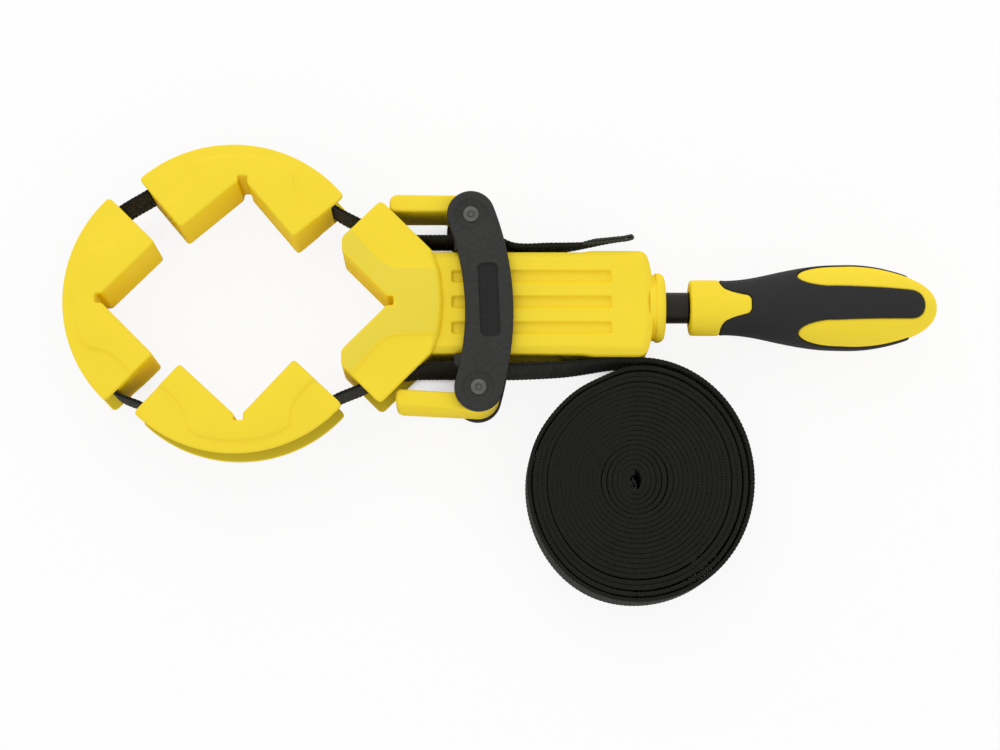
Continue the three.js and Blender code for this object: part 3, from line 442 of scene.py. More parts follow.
class Shell:
    # points and faces of one piece
    def __init__(self):
        self.points = []
        self.faces = []

    def add(self, points):
        start = len(self.points)
        self.points += points
        return list(range(start, len(self.points)))

    def ring(self, flat, height):
        return self.add([(p[0], p[1], z) for p, z in zip(flat, each(height, len(flat)))])

    def walls(self, rings):
        for low, high in zip(rings, rings[1:]):
            for i, index in enumerate(low):
                after = (i + 1) % len(low)
                self.faces.append((index, low[after], high[after], high[i]))

    def cap(self, ring, lines=(), height=None):
        # fills a ring with triangles that follow the lines
        rim = [Vector(self.points[i][:2]) for i in ring]
        spots, edges = list(rim), [(i, (i + 1) % len(rim)) for i in range(len(rim))]
        for line in lines:
            x, y = [p[0] for p in line], [p[1] for p in line]
            kept = within(x, y, rim) > 0.12
            for i, point in enumerate(line):
                if kept[i]:
                    if i and kept[i - 1]:
                        edges.append((len(spots) - 1, len(spots)))
                    spots.append(Vector(point[:2]))
        made, _, triangles, origins, _, _ = delaunay_2d_cdt(spots, edges, [], 0, 1e-5)
        x, y = np.array([p.x for p in made]), np.array([p.y for p in made])
        heights = height(x, y) if height else np.full(len(made), self.points[ring[0]][2])
        index = []
        for i, point in enumerate(made):
            own = [o for o in origins[i] if o < len(rim)]
            if own:
                index.append(ring[own[0]])
            else:
                index.append(len(self.points))
                self.points.append((point.x, point.y, float(heights[i])))
        middle = np.array([[sum(x[j] for j in t) / 3, sum(y[j] for j in t) / 3] for t in triangles])
        inside = within(middle[:, 0], middle[:, 1], rim) > 0
        for triangle, keep in zip(triangles, inside):
            if keep:
                self.faces.append(tuple(index[j] for j in triangle))

    def tube(self, rings):
        self.walls(rings)
        self.faces += [tuple(rings[0]), tuple(reversed(rings[-1]))]

    def lathe(self, profile, steps):
        # a profile of [along, radius] turned about the tool's axis
        turns = [2 * math.pi * i / steps for i in range(steps)]
        self.tube([
            self.add([(along, radius * math.cos(t), axisZ + radius * math.sin(t)) for t in turns])
            for along, radius in profile
        ])

    def moved(self, matrix):
        self.points = [tuple(matrix @ Vector(p)) for p in self.points]
        return self


def putPiece(name, mesh, finish, body, nodes, sharp):
    # makes the mesh a piece of the scene, on its body and in the place of its nodes
    mesh.shade_smooth()
    mesh.set_sharp_from_angle(angle=math.radians(sharp))
    mesh.materials.append(finish)
    piece = bpy.data.objects.new(name, mesh)
    scene.collection.objects.link(piece)
    if body:
        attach(piece, body)
    if nodes:
        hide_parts(*nodes)
    return piece


def makePiece(name, shell, finish, body=None, nodes=(), sharp=sharpAngle, merge=1e-3):
    mesh = bpy.data.meshes.new(name)
    mesh.from_pydata([Vector(p) * mm for p in shell.points], [], shell.faces)
    work = bmesh.new()
    work.from_mesh(mesh)
    bmesh.ops.remove_doubles(work, verts=work.verts, dist=merge * mm)
    bmesh.ops.dissolve_degenerate(work, edges=work.edges, dist=1e-7)
    bmesh.ops.recalc_face_normals(work, faces=work.faces)
    work.to_mesh(mesh)
    work.free()
    return putPiece(name, mesh, finish, body, nodes, sharp)


def combine(piece, operation, *others):
    for other in others:
        change = piece.modifiers.new("combine", "BOOLEAN")
        change.operation = operation
        change.solver = "MANIFOLD"
        change.object = other


def settle(piece, *helpers):
    # writes the result of the modifiers into the piece's mesh, and takes the helpers out of the scene
    bpy.context.view_layer.update()
    evaluated = piece.evaluated_get(bpy.context.evaluated_depsgraph_get())
    mesh = bpy.data.meshes.new_from_object(evaluated)
    piece.modifiers.clear()
    piece.data = mesh
    mesh.set_sharp_from_angle(angle=math.radians(sharpAngle))
    for helper in helpers:
        bpy.data.objects.remove(helper)


def cutFrom(piece, *cutters):
    combine(piece, "DIFFERENCE", *cutters)
    settle(piece, *cutters)


def prismShell(points, low, high, gap, round=0.0):
    # an outline raised between two heights with rounded edges
    rim = spaced(anticlockwise(points), gap)
    edge = fillet(round) if round else [(0, 0)]
    shell = Shell()
    top = [shell.ring(inset(rim, d), high - z) for d, z in edge]
    bottom = [shell.ring(inset(rim, d), low + z) for d, z in edge]
    shell.walls(top[::-1] + bottom)
    shell.cap(top[-1])
    shell.cap(bottom[-1])
    return shell


def boxShell(x, y, z):
    # a box between two places in each direction
    corners = [Vector((x[i], y[j])) for i, j in ((0, 0), (1, 0), (1, 1), (0, 1))]
    return prismShell(corners, *z, 1000)


def standing(x, y, turn=0.0):
    # from a shape's own place to one at the height of the tool's axis, turned about an upright line
    return Matrix.Translation((x, y, axisZ)) @ Matrix.Rotation(math.radians(turn), 4, "Z")


# loose jaws
looseJaw = {
    "height": 33.4, "faceLength": 31.5, "endLength": 26, "backDepth": 13.6, "bandInset": 4.6,
    "cornerRadius": 3, "tipRadius": 1.6, "flange": 3.3, "edge": 0.9, "channelEdge": 0.35, "channelGap": 1.0,
    "bandThickness": 1.25,
    "padHeight": 1.1, "padSlope": 1.6, "padInset": 4, "padRimShare": 0.86, "padCorner": 3.5,
    "notchWidth": 3.7, "notchDepth": 0.8, "notchRadius": 0.9, "gap": 1.6, "padGap": 1.5,
    "padEdge": [[0.5, 1.05], [0.36, 0.89], [0.22, 0.76], [0.05, 0.68], [-0.12, 0.65]],
    "places": {
        "right_jaw": ("right_v_jaw", -59, 49.4, -94.8),
        "front_jaw": ("front_v_jaw", -115.3, 1, 0),
        "left_jaw": ("left_v_jaw", -59.4, -46.5, 92.2),
    },
}

inner = looseJaw["faceLength"] * math.sqrt(0.5)
outerX = inner - looseJaw["endLength"] * math.sqrt(0.5)
outerY = inner + looseJaw["endLength"] * math.sqrt(0.5)
rise = outerX + looseJaw["backDepth"]
backRadius = (outerY ** 2 + rise ** 2) / (2 * rise)
backCentre = backRadius - looseJaw["backDepth"]
bandRadius = backRadius - looseJaw["bandInset"] - looseJaw["bandThickness"] / 2
jawHalfTurn = math.atan2(outerY, backCentre - outerX)


def curveThrough(points, steps):
    # centripetal curve through points
    spots = [Vector((*p[:2], 0)) for p in points]
    spots = [2 * spots[0] - spots[1], *spots, 2 * spots[-1] - spots[-2]]
    result = []
    for step in range(steps + 1):
        along = step / steps * (len(points) - 1)
        i = min(int(along), len(points) - 2)
        share = along - i
        p0, p1, p2, p3 = spots[i:i + 4]
        t0, t1, t2 = (max((b - a).length, 1e-4) ** 0.5 for a, b in ((p0, p1), (p1, p2), (p2, p3)))
        m1 = ((p1 - p0) / t0 - (p2 - p0) / (t0 + t1) + (p2 - p1) / t1) * t1
        m2 = ((p2 - p1) / t1 - (p3 - p1) / (t1 + t2) + (p3 - p2) / t2) * t1
        c2, c3 = 3 * (p2 - p1) - 2 * m1 - m2, 2 * (p1 - p2) + m1 + m2
        point = p1 + m1 * share + c2 * share ** 2 + c3 * share ** 3
        result.append(Vector((point.x, point.y)))
    return result


def lengthsAlong(path):
    # how far along the path each of its points lies
    lengths = [0.0]
    for a, b in zip(path, path[1:]):
        lengths.append(lengths[-1] + (b - a).length)
    return lengths


def evenly(path, step):
    # the path with points a step apart, and how far along it each lies
    lengths = lengthsAlong(path)
    at = np.linspace(0, lengths[-1], int(lengths[-1] / step) + 1)
    x, y = (np.interp(at, lengths, [p[axis] for p in path]) for axis in (0, 1))
    return [Vector(p) for p in zip(x, y)], at


def jawOutline():
    size = looseJaw
    turn = math.pi - jawHalfTurn + size["cornerRadius"] / backRadius
    half = [[inner, inner, size["tipRadius"]], [outerX, outerY, size["cornerRadius"]]]
    back = arc(backCentre, backRadius, turn, 2 * math.pi - turn, 64)
    width, deep, radius = size["notchWidth"] / 2, size["notchDepth"], size["notchRadius"]
    notch = [[width, -width, radius], [-deep, -width, radius], [-deep, width, radius], [width, width, radius]]
    return anticlockwise(outline([*half, *back, *mirrored(half), *notch]))


def jawPad():
    size = looseJaw
    edge = curveThrough([[a * size["faceLength"], b * size["faceLength"]] for a, b in size["padEdge"]], 14)
    rimRadius = backRadius - size["padInset"]
    turn = math.pi - math.asin(edge[-1][1] / rimRadius) * size["padRimShare"]
    rim = arc(backCentre, rimRadius, turn, 2 * math.pi - turn, 30)
    half = [[size["faceLength"], edge[0][1]], *[list(p) for p in edge[:-1]], [*edge[-1], size["padCorner"]]]
    return outline([*half, *rim[1:-1], *mirrored(half)])


def padLines(pad):
    return slopeLines(anticlockwise(spaced(pad, looseJaw["padGap"])), 0, looseJaw["padSlope"])


def jawTop(pad):
    # a jaw's broad side, which rises to its pad
    def top(x, y):
        sunk = 1 - smooth(within(x, y, pad) / looseJaw["padSlope"])
        return looseJaw["height"] / 2 - looseJaw["padHeight"] * sunk
    return top


def jawShell():
    size = looseJaw
    channel = size["height"] / 2 - size["flange"]
    rim = spaced(jawOutline(), size["gap"])
    pad = jawPad()
    top = jawTop(pad)
    floor = bandRadius - size["bandThickness"] / 2 - size["channelGap"]
    centre = Vector((backCentre, 0))
    core = []
    for point in rim:
        away = point - centre
        core.append(centre + away * (floor / away.length) if away.length > floor else point)
    shell = Shell()
    upper, lower = [], []
    for drawn, drop in fillet(size["edge"]):
        line = inset(rim, drawn)
        level = levels(top, line) - drop
        upper.append(shell.ring(line, level))
        lower.append(shell.ring(line, -level))
    lip = [(0, size["channelEdge"]), (size["channelEdge"], 0)]
    isBack = [(a - b).length > size["channelEdge"] for a, b in zip(rim, core)]

    def lipRing(drawn, lift, side):
        line = [p if back else q for back, p, q in zip(isBack, inset(rim, drawn), rim)]
        return shell.ring(line, [side * (channel + (lift if back else 0)) for back in isBack])
    upperLip = [lipRing(drawn, lift, 1) for drawn, lift in lip]
    lowerLip = [lipRing(drawn, lift, -1) for drawn, lift in lip]
    middle = [shell.ring(core, channel), shell.ring(core, -channel)]
    shell.walls(upper[::-1] + upperLip + middle + lowerLip[::-1] + lower)
    shell.cap(upper[-1], padLines(pad), top)
    shell.cap(lower[-1], padLines(pad), lambda x, y: -top(x, y))
    return shell


def makeLooseJaws():
    for node, (body, x, y, turn) in looseJaw["places"].items():
        shell = jawShell().moved(standing(x + apexX, y, turn))
        makePiece(node.replace("_jaw", "JawMoulding"), shell, yellow, body, [node])


makeLooseJaws()
print("loose jaws made")

# fixed jaw and housing
fixedJaw = {
    "faceLength": 27.7, "noseFlat": 5.9, "endLength": 21.5, "cornerRadius": 2.5,
    "backMiddle": 20.3, "backShoulder": (18.9, 13), "channelGap": 0.5,
    "padHalf": 14.2, "padRear": 27, "padStraight": 15, "padRound": 6,
    "paleFrom": 0.7, "paleDepth": 0.6, "paleLevel": 0.98,
    "rearWide": 2.8, "rearLevel": 12.9, "rearFrom": 14.5, "rearOver": 4, "ledge": 0.2,
    "padShares": [[-0.55, 1.08], [-0.32, 0.83], [-0.13, 0.62], [0.05, 0.53]],
    "bandShares": [[-0.445, 1.195], [-0.11, 1.035]], "bandEnd": 9.3,
}
housing = {
    "half": 20.4, "headHalf": 21, "headStart": 76, "headRamp": 3, "end": 103.4, "cornerRadius": 3.5,
    "headRound": 2, "taper": 2.7, "taperStart": 10, "taperRound": 8, "gap": 4,
    "low": 4.3, "high": 30.7, "wall": 3.4, "seamGap": 0.3,
    "edge": [(0, 2.3), (0.1, 1.9), (0.35, 1.55), (2.5, 0.3), (2.95, 0.07), (3.4, 0)],
    "grooveStart": 23.4, "grooveEnd": 87, "grooveWidth": 4.9, "groovePitch": 10.3, "grooveDepth": 1.6,
    "grooveRound": 1.2, "grooveSlope": (-0.25, 0.65), "grooveRamp": 1.9, "grooveEndShare": 0.3,
    "cavityFront": 25.25, "cavityRear": 88.3, "slotFrom": 26.25, "slotTo": 67.15, "slotHalf": 6.45,
    "neckStart": 102, "neckWaist": 105, "waistDepth": 0.7, "neckEnd": 108.4, "neckRadius": 13.9,
    "neckRound": 2.6, "neckMouth": 0.7, "bore": 6.65, "journalFrom": 15.8, "journalBore": 4.3,
    "screwLow": 6, "screwSeat": 8.5, "screwTop": 24.8, "screwHole": 1.8, "screwHeadHole": 3.1,
    "screws": [(-0.06, 1.02), (0.115, 0.5), (0.945, 0.8)], "screwSpan": 101.7,
}
fixedInner = fixedJaw["faceLength"] * math.sqrt(0.5)
fixedOuterX = -fixedInner + fixedJaw["endLength"] * math.sqrt(0.5)
fixedOuterY = fixedInner + fixedJaw["noseFlat"] + fixedJaw["endLength"] * math.sqrt(0.5)
armEnd = fixedOuterX + fixedOuterY - housing["half"]
bandSide = 26.575  # from the axis to the band beside the housing
pivotX, pivotY = 32.7, 34.5  # the right rivet, from the apex and the axis
screwSpots = [
    (along * housing["screwSpan"] + apexX, side * across * housing["half"])
    for along, across in housing["screws"] for side in (1, -1)
]


def armPath():
    size = fixedJaw["faceLength"]
    return [*([a * size, b * size] for a, b in fixedJaw["bandShares"]), [fixedJaw["bandEnd"], bandSide]]


def jawArc(node):
    _, x, y, turn = looseJaw["places"][node]
    turn = math.radians(turn)
    middle = Vector((x, y)) + Vector((math.cos(turn), math.sin(turn))) * backCentre
    span = jawHalfTurn * 0.99
    turns = [turn + math.pi + span - 2 * span * i / 10 for i in range(11)]
    return [middle + Vector((math.cos(t), math.sin(t))) * bandRadius for t in turns]


def loopPath(steps):
    arms = armPath()
    return curveThrough([
        *mirrored(arms), *jawArc("left_jaw"), *jawArc("front_jaw"), *jawArc("right_jaw"), *arms,
    ], steps)


def fixedOutline():
    size = fixedJaw
    width, deep, radius = looseJaw["notchWidth"] / 2, looseJaw["notchDepth"], looseJaw["notchRadius"]
    shoulder = curveThrough([[armEnd, housing["half"]], size["backShoulder"], [size["backMiddle"], 0]], 16)
    side = [
        *[list(p) for p in reversed(shoulder[1:])], [armEnd, housing["half"], 0.6],
        [fixedOuterX, fixedOuterY, size["cornerRadius"]],
        [-fixedInner, fixedInner + size["noseFlat"], looseJaw["tipRadius"]],
        [-fixedInner, fixedInner, looseJaw["tipRadius"]],
        [-width, width, radius], [deep, width, radius],
    ]
    return anticlockwise(outline([*side, *mirrored(side[1:])]))


def fixedPad():
    size = fixedJaw
    edge = curveThrough([[a * size["faceLength"], b * size["faceLength"]] for a, b in size["padShares"]], 14)
    half = [
        [size["padRear"], size["padHalf"]], [size["padStraight"], size["padHalf"], size["padRound"]],
        *[list(p) for p in reversed(edge)], [-size["faceLength"], size["faceLength"]],
    ]
    return outline([*half, *mirrored(half)])


def fixedJawShell():
    size = fixedJaw
    channel = looseJaw["height"] / 2 - looseJaw["flange"]
    rim = spaced(fixedOutline(), looseJaw["gap"])
    pad = fixedPad()
    top = jawTop(pad)
    run = [p for p in loopPath(600) if p.y > 0 and p.x > -fixedInner]
    drop = looseJaw["bandThickness"] / 2 + size["channelGap"]
    run = [p - leftOf(q - p).normalized() * drop for p, q in zip(run, run[1:])]
    floorX, floorY = [p.x for p in run], [p.y for p in run]

    def toFloor(p):
        level = float(np.interp(p.x, floorX, floorY))
        if p.x < floorX[0] or abs(p.y) <= level:
            return p
        return Vector((p.x, math.copysign(level, p.y)))
    core = [toFloor(p) for p in rim]
    shell = Shell()
    upper, lower = [], []
    # its rear edge runs down into the top of the housing
    rear = np.array([float(smooth((p.x - size["rearFrom"]) / size["rearOver"])) for p in rim])
    rimTop = levels(top, rim)
    wide = looseJaw["edge"] + (size["rearWide"] - looseJaw["edge"]) * rear
    deep = looseJaw["edge"] + (rimTop - size["rearLevel"] - looseJaw["edge"]) * rear
    below = np.minimum(channel, rimTop - deep - size["ledge"])
    for drawn, fall in fillet(1, steps=6):
        line = inset(rim, wide * drawn)
        level = levels(top, line) - deep * fall
        upper.append(shell.ring(line, level))
        lower.append(shell.ring(line, -level))
    middle = [shell.ring(flat, z) for flat, z in ((rim, below), (core, below), (core, -below), (rim, -below))]
    shell.walls(upper[::-1] + middle + lower)
    shell.cap(upper[-1], padLines(pad), top)
    shell.cap(lower[-1], padLines(pad), lambda x, y: -top(x, y))
    return shell.moved(standing(apexX, 0))


def trunkShell():
    size = housing
    side = [
        [size["end"], size["taperStart"], size["taperRound"]],
        [size["end"] - size["taper"], size["headHalf"], size["cornerRadius"]],
        [size["headStart"] + size["headRamp"], size["headHalf"], size["headRound"]],
        [size["headStart"], size["half"], size["headRound"]], [armEnd - size["cornerRadius"], size["half"]],
    ]
    rim = spaced(anticlockwise(outline([*side, *mirrored(side)], 9)), size["gap"])
    half = (size["high"] - size["low"]) / 2
    wide, pitch = size["grooveWidth"] / 2, size["groovePitch"]
    first, last = size["grooveStart"], size["grooveEnd"]
    grooves = [anticlockwise(outline([
        [x, y + way * wide, size["grooveRound"]] for x, way in ((first, -1), (last, -1), (last, 1), (first, 1))
    ])) for y in (-pitch, 0, pitch)]
    start, end = size["grooveSlope"]
    lines = [line for groove in grooves for line in slopeLines(spaced(groove, 3), start, end)]

    def top(x, y):
        deep = np.max([within(x, y, groove) for groove in grooves], axis=0)
        ramp = smooth(np.minimum(x - first, last - x) / size["grooveRamp"] + size["grooveEndShare"])
        return half - size["grooveDepth"] * smooth((deep - start) / (end - start)) * ramp
    shell = Shell()
    upper = [shell.ring(inset(rim, drawn), half - fall) for drawn, fall in size["edge"]]
    lower = [shell.ring(inset(rim, drawn), fall - half) for drawn, fall in size["edge"]]
    shell.walls(upper[::-1] + lower)
    shell.cap(upper[-1], lines, top)
    shell.cap(lower[-1], lines, lambda x, y: -top(x, y))
    return shell.moved(standing(apexX, 0))


def neckProfile():
    size = housing
    round, mouth, bore = size["neckRound"], size["neckMouth"], size["bore"]
    end, radius, waist = size["neckEnd"], size["neckRadius"], size["neckRadius"] - size["waistDepth"]
    turns = [math.pi / 2 * i / 8 for i in range(9)]
    return [
        [size["neckStart"], waist], [size["neckWaist"] - size["waistDepth"], waist],
        [size["neckWaist"], radius],
        *[[end - round * (1 - math.sin(t)), radius - round * (1 - math.cos(t))] for t in turns],
        [end, bore + mouth], [end - mouth * 0.3, bore + mouth * 0.3], [end - mouth, bore - 0.01],
    ]


def turnedShell(profile, steps=64):
    shell = Shell()
    shell.lathe([[along + apexX, radius] for along, radius in profile], steps)
    return shell


def rodCutter(name, fromX, toX, radius):
    return makePiece(name, turnedShell([[fromX, radius], [toX, radius]]), yellow)


def uprightShell(profile, steps):
    # a profile of [height, radius] turned about an upright line
    shell = Shell()
    shell.lathe(profile, steps)
    return shell.moved(Matrix.Rotation(math.radians(-90), 4, "Y") @ Matrix.Translation((0, 0, -axisZ)))


def postCutter(name, x, y, low, high, radius, steps=32):
    shell = uprightShell([[low, radius], [high, radius]], steps)
    return makePiece(name, shell.moved(Matrix.Translation((x, y, 0))), yellow)


def boxCutter(name, x, y, z):
    return makePiece(name, boxShell([place + apexX for place in x], y, z), yellow)


def makeHousing():
    size = housing
    whole = makePiece("housingWhole", fixedJawShell(), yellow)
    whole.data.materials.append(padYellow)
    middles = np.array([face.center for face in whole.data.polygons]) / mm
    # the pad's flat top is of the paler finish
    flat = np.array([abs(face.normal.z) for face in whole.data.polygons]) > fixedJaw["paleLevel"]
    inside = within(middles[:, 0] - apexX, middles[:, 1], fixedPad()) > fixedJaw["paleFrom"]
    high = np.abs(middles[:, 2] - axisZ) > looseJaw["height"] / 2 - fixedJaw["paleDepth"]
    whole.data.polygons.foreach_set("material_index", (inside & high & flat).astype(np.int32))
    trunk = makePiece("trunk", trunkShell(), yellow)
    neck = makePiece("neck", turnedShell(neckProfile()), yellow)
    combine(whole, "UNION", trunk, neck)
    side = size["half"] - size["wall"]
    deep, slot = (size["high"] - size["low"]) / 2 - size["wall"], size["slotHalf"]
    front, rear = size["cavityFront"], size["cavityRear"]
    past, far = 30, 200  # how far cutters reach beyond the sides and the ends
    cutters = [
        boxCutter("cavity", (front, rear), (-side, side), (axisZ - deep, axisZ + deep)),
        boxCutter("slots", (size["slotFrom"], size["slotTo"]), (-past, past), (axisZ - slot, axisZ + slot)),
        rodCutter("bore", rear - 1, size["neckEnd"] + 2, size["bore"]),
        rodCutter("journal", size["journalFrom"], front + 1, size["journalBore"]),
    ]
    combine(whole, "DIFFERENCE", *cutters)
    settle(whole, trunk, neck, *cutters)
    gap = size["seamGap"] / 2
    for name, node, heights in (
        ("upperShell", "upper_housing", (axisZ + gap, 60)), ("lowerShell", "lower_housing", (-20, axisZ - gap)),
    ):
        shell = bpy.data.objects.new(name, whole.data.copy())
        scene.collection.objects.link(shell)
        kept = boxCutter("kept", (-far, far), (-far, far), heights)
        combine(shell, "INTERSECT", kept)
        holes = []
        for x, y in screwSpots:
            holes.append(postCutter(
                "screwHole", x, y, size["screwLow"], size["screwTop"], size["screwHole"], 20))
            if node == "lower_housing":
                holes.append(postCutter("headHole", x, y, 0.1, size["screwSeat"], size["screwHeadHole"]))
        combine(shell, "DIFFERENCE", *holes)
        settle(shell, kept, *holes)
        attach(shell, "housing")
        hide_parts(node)
    bpy.data.objects.remove(whole)


makeHousing()
print("housing made")

# housing screws, seen from below
housingScrew = {
    "headRadius": 2.8, "head": 1.8, "seat": 8.2, "shank": 1.5, "tip": 24.5, "edge": 0.4,
    "crossHalf": 0.45, "crossReach": 1.6, "crossDepth": 1.1,
}


def makeHousingScrews():
    size = housingScrew
    head, seat, edge, tip = size["headRadius"], size["seat"], size["edge"], size["tip"]
    low = seat - size["head"]
    profile = [
        [low, head - edge * 2], [low + edge * 0.3, head - edge], [low + edge * 1.2, head], [seat, head],
        [seat, size["shank"]], [tip - 1, size["shank"]], [tip, size["shank"] * 0.4],
    ]
    half, reach, deep = size["crossHalf"], size["crossReach"], (low - 1, low + size["crossDepth"])
    for i, (x, y) in enumerate(screwSpots, 1):
        shell = uprightShell(profile, 32).moved(Matrix.Translation((x, y, 0)))
        screw = makePiece(
            f"shellScrew{i}", shell, brightSteel, "housing", [f"housing_screw_{i}"])
        cross = (boxShell((x - a, x + a), (y - b, y + b), deep) for a, b in ((half, reach), (reach, half)))
        cutFrom(screw, *[makePiece("cross", shell, brightSteel) for shell in cross])


makeHousingScrews()
print("housing screws made")

# carriage
bridge = {
    "half": 9.5, "bulge": 5.6, "thickness": 3.6, "edge": 1.0, "backEdge": 0.4, "skew": 2.4,
    "ringRadius": 6.2, "ringDepth": 0.6, "ringSlope": (-0.4, 0.6), "pinHole": 2.6,
    "panelWidth": 7.9, "panelLength": 29.6, "panelDepth": 0.8, "panelSlope": (-0.1, 0.4),
    # the first two sizes here bound the panel's darker floor, which is partly painted shade: how far inside the
    # panel, and how deep under the plate's face
    "darkPanelFrom": 0.35, "darkPanelDepth": 1.5, "pinDepth": 6, "pegY": 23.25, "pegHole": 2.5, "pegDepth": 1.9,
}
lever = {
    "height": 25.8, "reach": 32.2, "inner": 2, "outer": 9.1, "tipRadius": 2, "outerRadius": 3.6, "edge": 1.2,
    "hub": 8.7, "hubTurns": (92, -38), "collar": 5.4, "collarHalf": 13.6,
    "camTurns": (-58, -138), "camRise": 0.19, "camSpan": 38, "camReach": 7,
    "lean": {"right": 0, "left": -3.6}, "hole": 2.6, "holeHeights": (-5, 40),
}
rivet = {"radius": 2.3, "head": 3.1, "seat": 16.8, "height": 0.6, "dimple": 1.3, "edge": 0.18}
bridgeRadius = (pivotY ** 2 + bridge["bulge"] ** 2) / (2 * bridge["bulge"])
bridgeCentre = bridge["bulge"] - bridgeRadius
hands = (("right", 1), ("left", -1))


def onBridge(x, y):
    # a place on the skewed bridges, from the middle of the line between the pins
    point = Matrix.Rotation(math.radians(bridge["skew"]), 2) @ Vector((x, y))
    return Vector((pivotX + apexX + point.x, point.y))


def bridgePanel():
    wide, long = bridge["panelWidth"] / 2, bridge["panelLength"] / 2
    side = [[bridge["bulge"] + way * wide, long, bridge["panelWidth"] / 3] for way in (1, -1)]
    return spaced(anticlockwise(outline([*side, *mirrored(side)])), 2)


def bridgeShell():
    turn = math.asin(pivotY / bridgeRadius)
    end = [[x, y + pivotY] for x, y in arc(0, bridge["half"], turn, turn + math.pi, 28)[1:-1]]
    rim = [Vector(p) for p in [
        *arc(bridgeCentre, bridgeRadius + bridge["half"], -turn, turn, 30), *end,
        *arc(bridgeCentre, bridgeRadius - bridge["half"], turn, -turn, 24), *mirrored(end),
    ]]
    rim = spaced(anticlockwise(rim), 2.5)
    panel = bridgePanel()
    low, high = bridge["panelSlope"]
    near, far = bridge["ringSlope"]
    lines = slopeLines(panel, low, high)
    for y in (pivotY, -pivotY):
        for drawn in spread(near, far, 4):
            ring = arc(0, bridge["ringRadius"] - drawn, 0, 2 * math.pi, 48)[:-1]
            lines.append([Vector((p[0], p[1] + y)) for p in [*ring, ring[0]]])

    def top(x, y):
        deep = bridge["panelDepth"] * smooth((within(x, y, panel) - low) / (high - low))
        for way in (pivotY, -pivotY):
            inside = bridge["ringRadius"] - np.hypot(x, y - way)
            deep = deep + bridge["ringDepth"] * smooth((inside - near) / (far - near))
        return axisZ - deep
    shell = Shell()
    under = axisZ - bridge["thickness"]
    upper = [shell.ring(inset(rim, d), axisZ - fall) for d, fall in fillet(bridge["edge"], steps=5)]
    lower = [shell.ring(inset(rim, d), under + fall) for d, fall in fillet(bridge["backEdge"], steps=3)]
    shell.walls(upper[::-1] + lower)
    shell.cap(upper[-1], lines, top)
    shell.cap(lower[-1])
    return shell


def makeBridges():
    size = bridge
    pegX = bridgeCentre + math.sqrt(bridgeRadius ** 2 - size["pegY"] ** 2)
    place = standing(pivotX + apexX, 0, size["skew"])
    for node, face in (("top_bridge", 1), ("bottom_bridge", -1)):
        shell = bridgeShell()
        shell.points = [(x, y, z * face) for x, y, z in shell.points]
        name = node.replace("_bridge", "BridgePlate")
        plate = makePiece(name, shell.moved(place), black, "carriage", [node])
        # the panel's recessed floor is darker than the plate: partly the tone of its lettering, which is left
        # off, and partly painted shade in the recess
        plate.data.materials.append(panelLetteringAndShade)
        back = place.inverted()
        middles = np.array([back @ (part.center / mm) for part in plate.data.polygons])
        inside = within(middles[:, 0], middles[:, 1], bridgePanel()) > size["darkPanelFrom"]
        outer = np.abs(middles[:, 2]) > axisZ - size["darkPanelDepth"]
        plate.data.polygons.foreach_set("material_index", (inside & outer).astype(np.int32))
        inner = axisZ + face * (axisZ - size["thickness"])
        cutters = []
        for side in (1, -1):
            for x, y, deep, radius in (
                (0, pivotY, size["pinDepth"], size["pinHole"]),
                (pegX, size["pegY"], size["pegDepth"], size["pegHole"]),
            ):
                spot = onBridge(x, side * y)
                cutters.append(postCutter("hole", spot.x, spot.y, inner - deep, inner + deep, radius))
        cutFrom(plate, *cutters)


def camCorners():
    size = lever
    inner = size["inner"]

    def polar(turn, radius):
        return [math.cos(math.radians(turn)) * radius, math.sin(math.radians(turn)) * radius]
    start = size["camTurns"][0]
    turns = spread(*size["camTurns"], 20)
    grown = [polar(t, 1 + (t - start) / size["camSpan"] * size["camRise"]) for t in turns]
    lowest = max(-y for _, y in grown)
    cam = [[x * size["camReach"] / lowest, y * size["camReach"] / lowest] for x, y in grown]
    hub = [polar(t, size["hub"]) for t in spread(*size["hubTurns"], 26)]
    return [
        [-size["reach"], inner, size["tipRadius"]], [-size["hub"], inner, inner],
        [-size["collar"], -inner, inner / 2], *reversed(cam), *reversed(hub),
        [-size["reach"], size["outer"], size["outerRadius"]],
    ]


def makeLevers():
    size = lever
    for hand, side in hands:
        corners = camCorners()
        rim = outline(corners if side > 0 else mirrored(corners))
        shell = prismShell(rim, -size["height"] / 2, size["height"] / 2, 2.5, size["edge"])
        collar = uprightShell([[way * size["collarHalf"], size["collar"]] for way in (-1, 1)], 48)
        at = onBridge(0, side * pivotY)
        place = standing(at.x, at.y, size["lean"][hand])
        arm = makePiece(
            f"{hand}CamLever", shell.moved(place), yellow, f"{hand}_lever", [f"{hand}_cam_lever"])
        ring = makePiece("collar", collar.moved(place), yellow)
        hole = postCutter("hole", at.x, at.y, *size["holeHeights"], size["hole"])
        combine(arm, "UNION", ring)
        combine(arm, "DIFFERENCE", hole)
        settle(arm, ring, hole)


def makeRivets():
    size = rivet
    seat, head, edge, dimple = size["seat"], size["head"], size["edge"], size["dimple"]
    top = seat + size["height"]
    half = [
        [seat, size["radius"]], [seat, head - edge], [seat + edge, head], [top - edge, head],
        [top - edge * 0.3, head - edge * 0.3], [top, head - edge], [top, dimple + edge],
        [top - edge, dimple], [top - size["height"], dimple * 0.7],
    ]
    profile = [[-height, radius] for height, radius in reversed(half)] + half
    for hand, side in hands:
        at = onBridge(0, side * pivotY)
        shell = uprightShell(profile, 56).moved(standing(at.x, at.y))
        makePiece(f"{hand}Rivet", shell, brightSteel, "carriage", [f"{hand}_cam_pin"])


makeBridges()
makeLevers()
makeRivets()
print("carriage made")

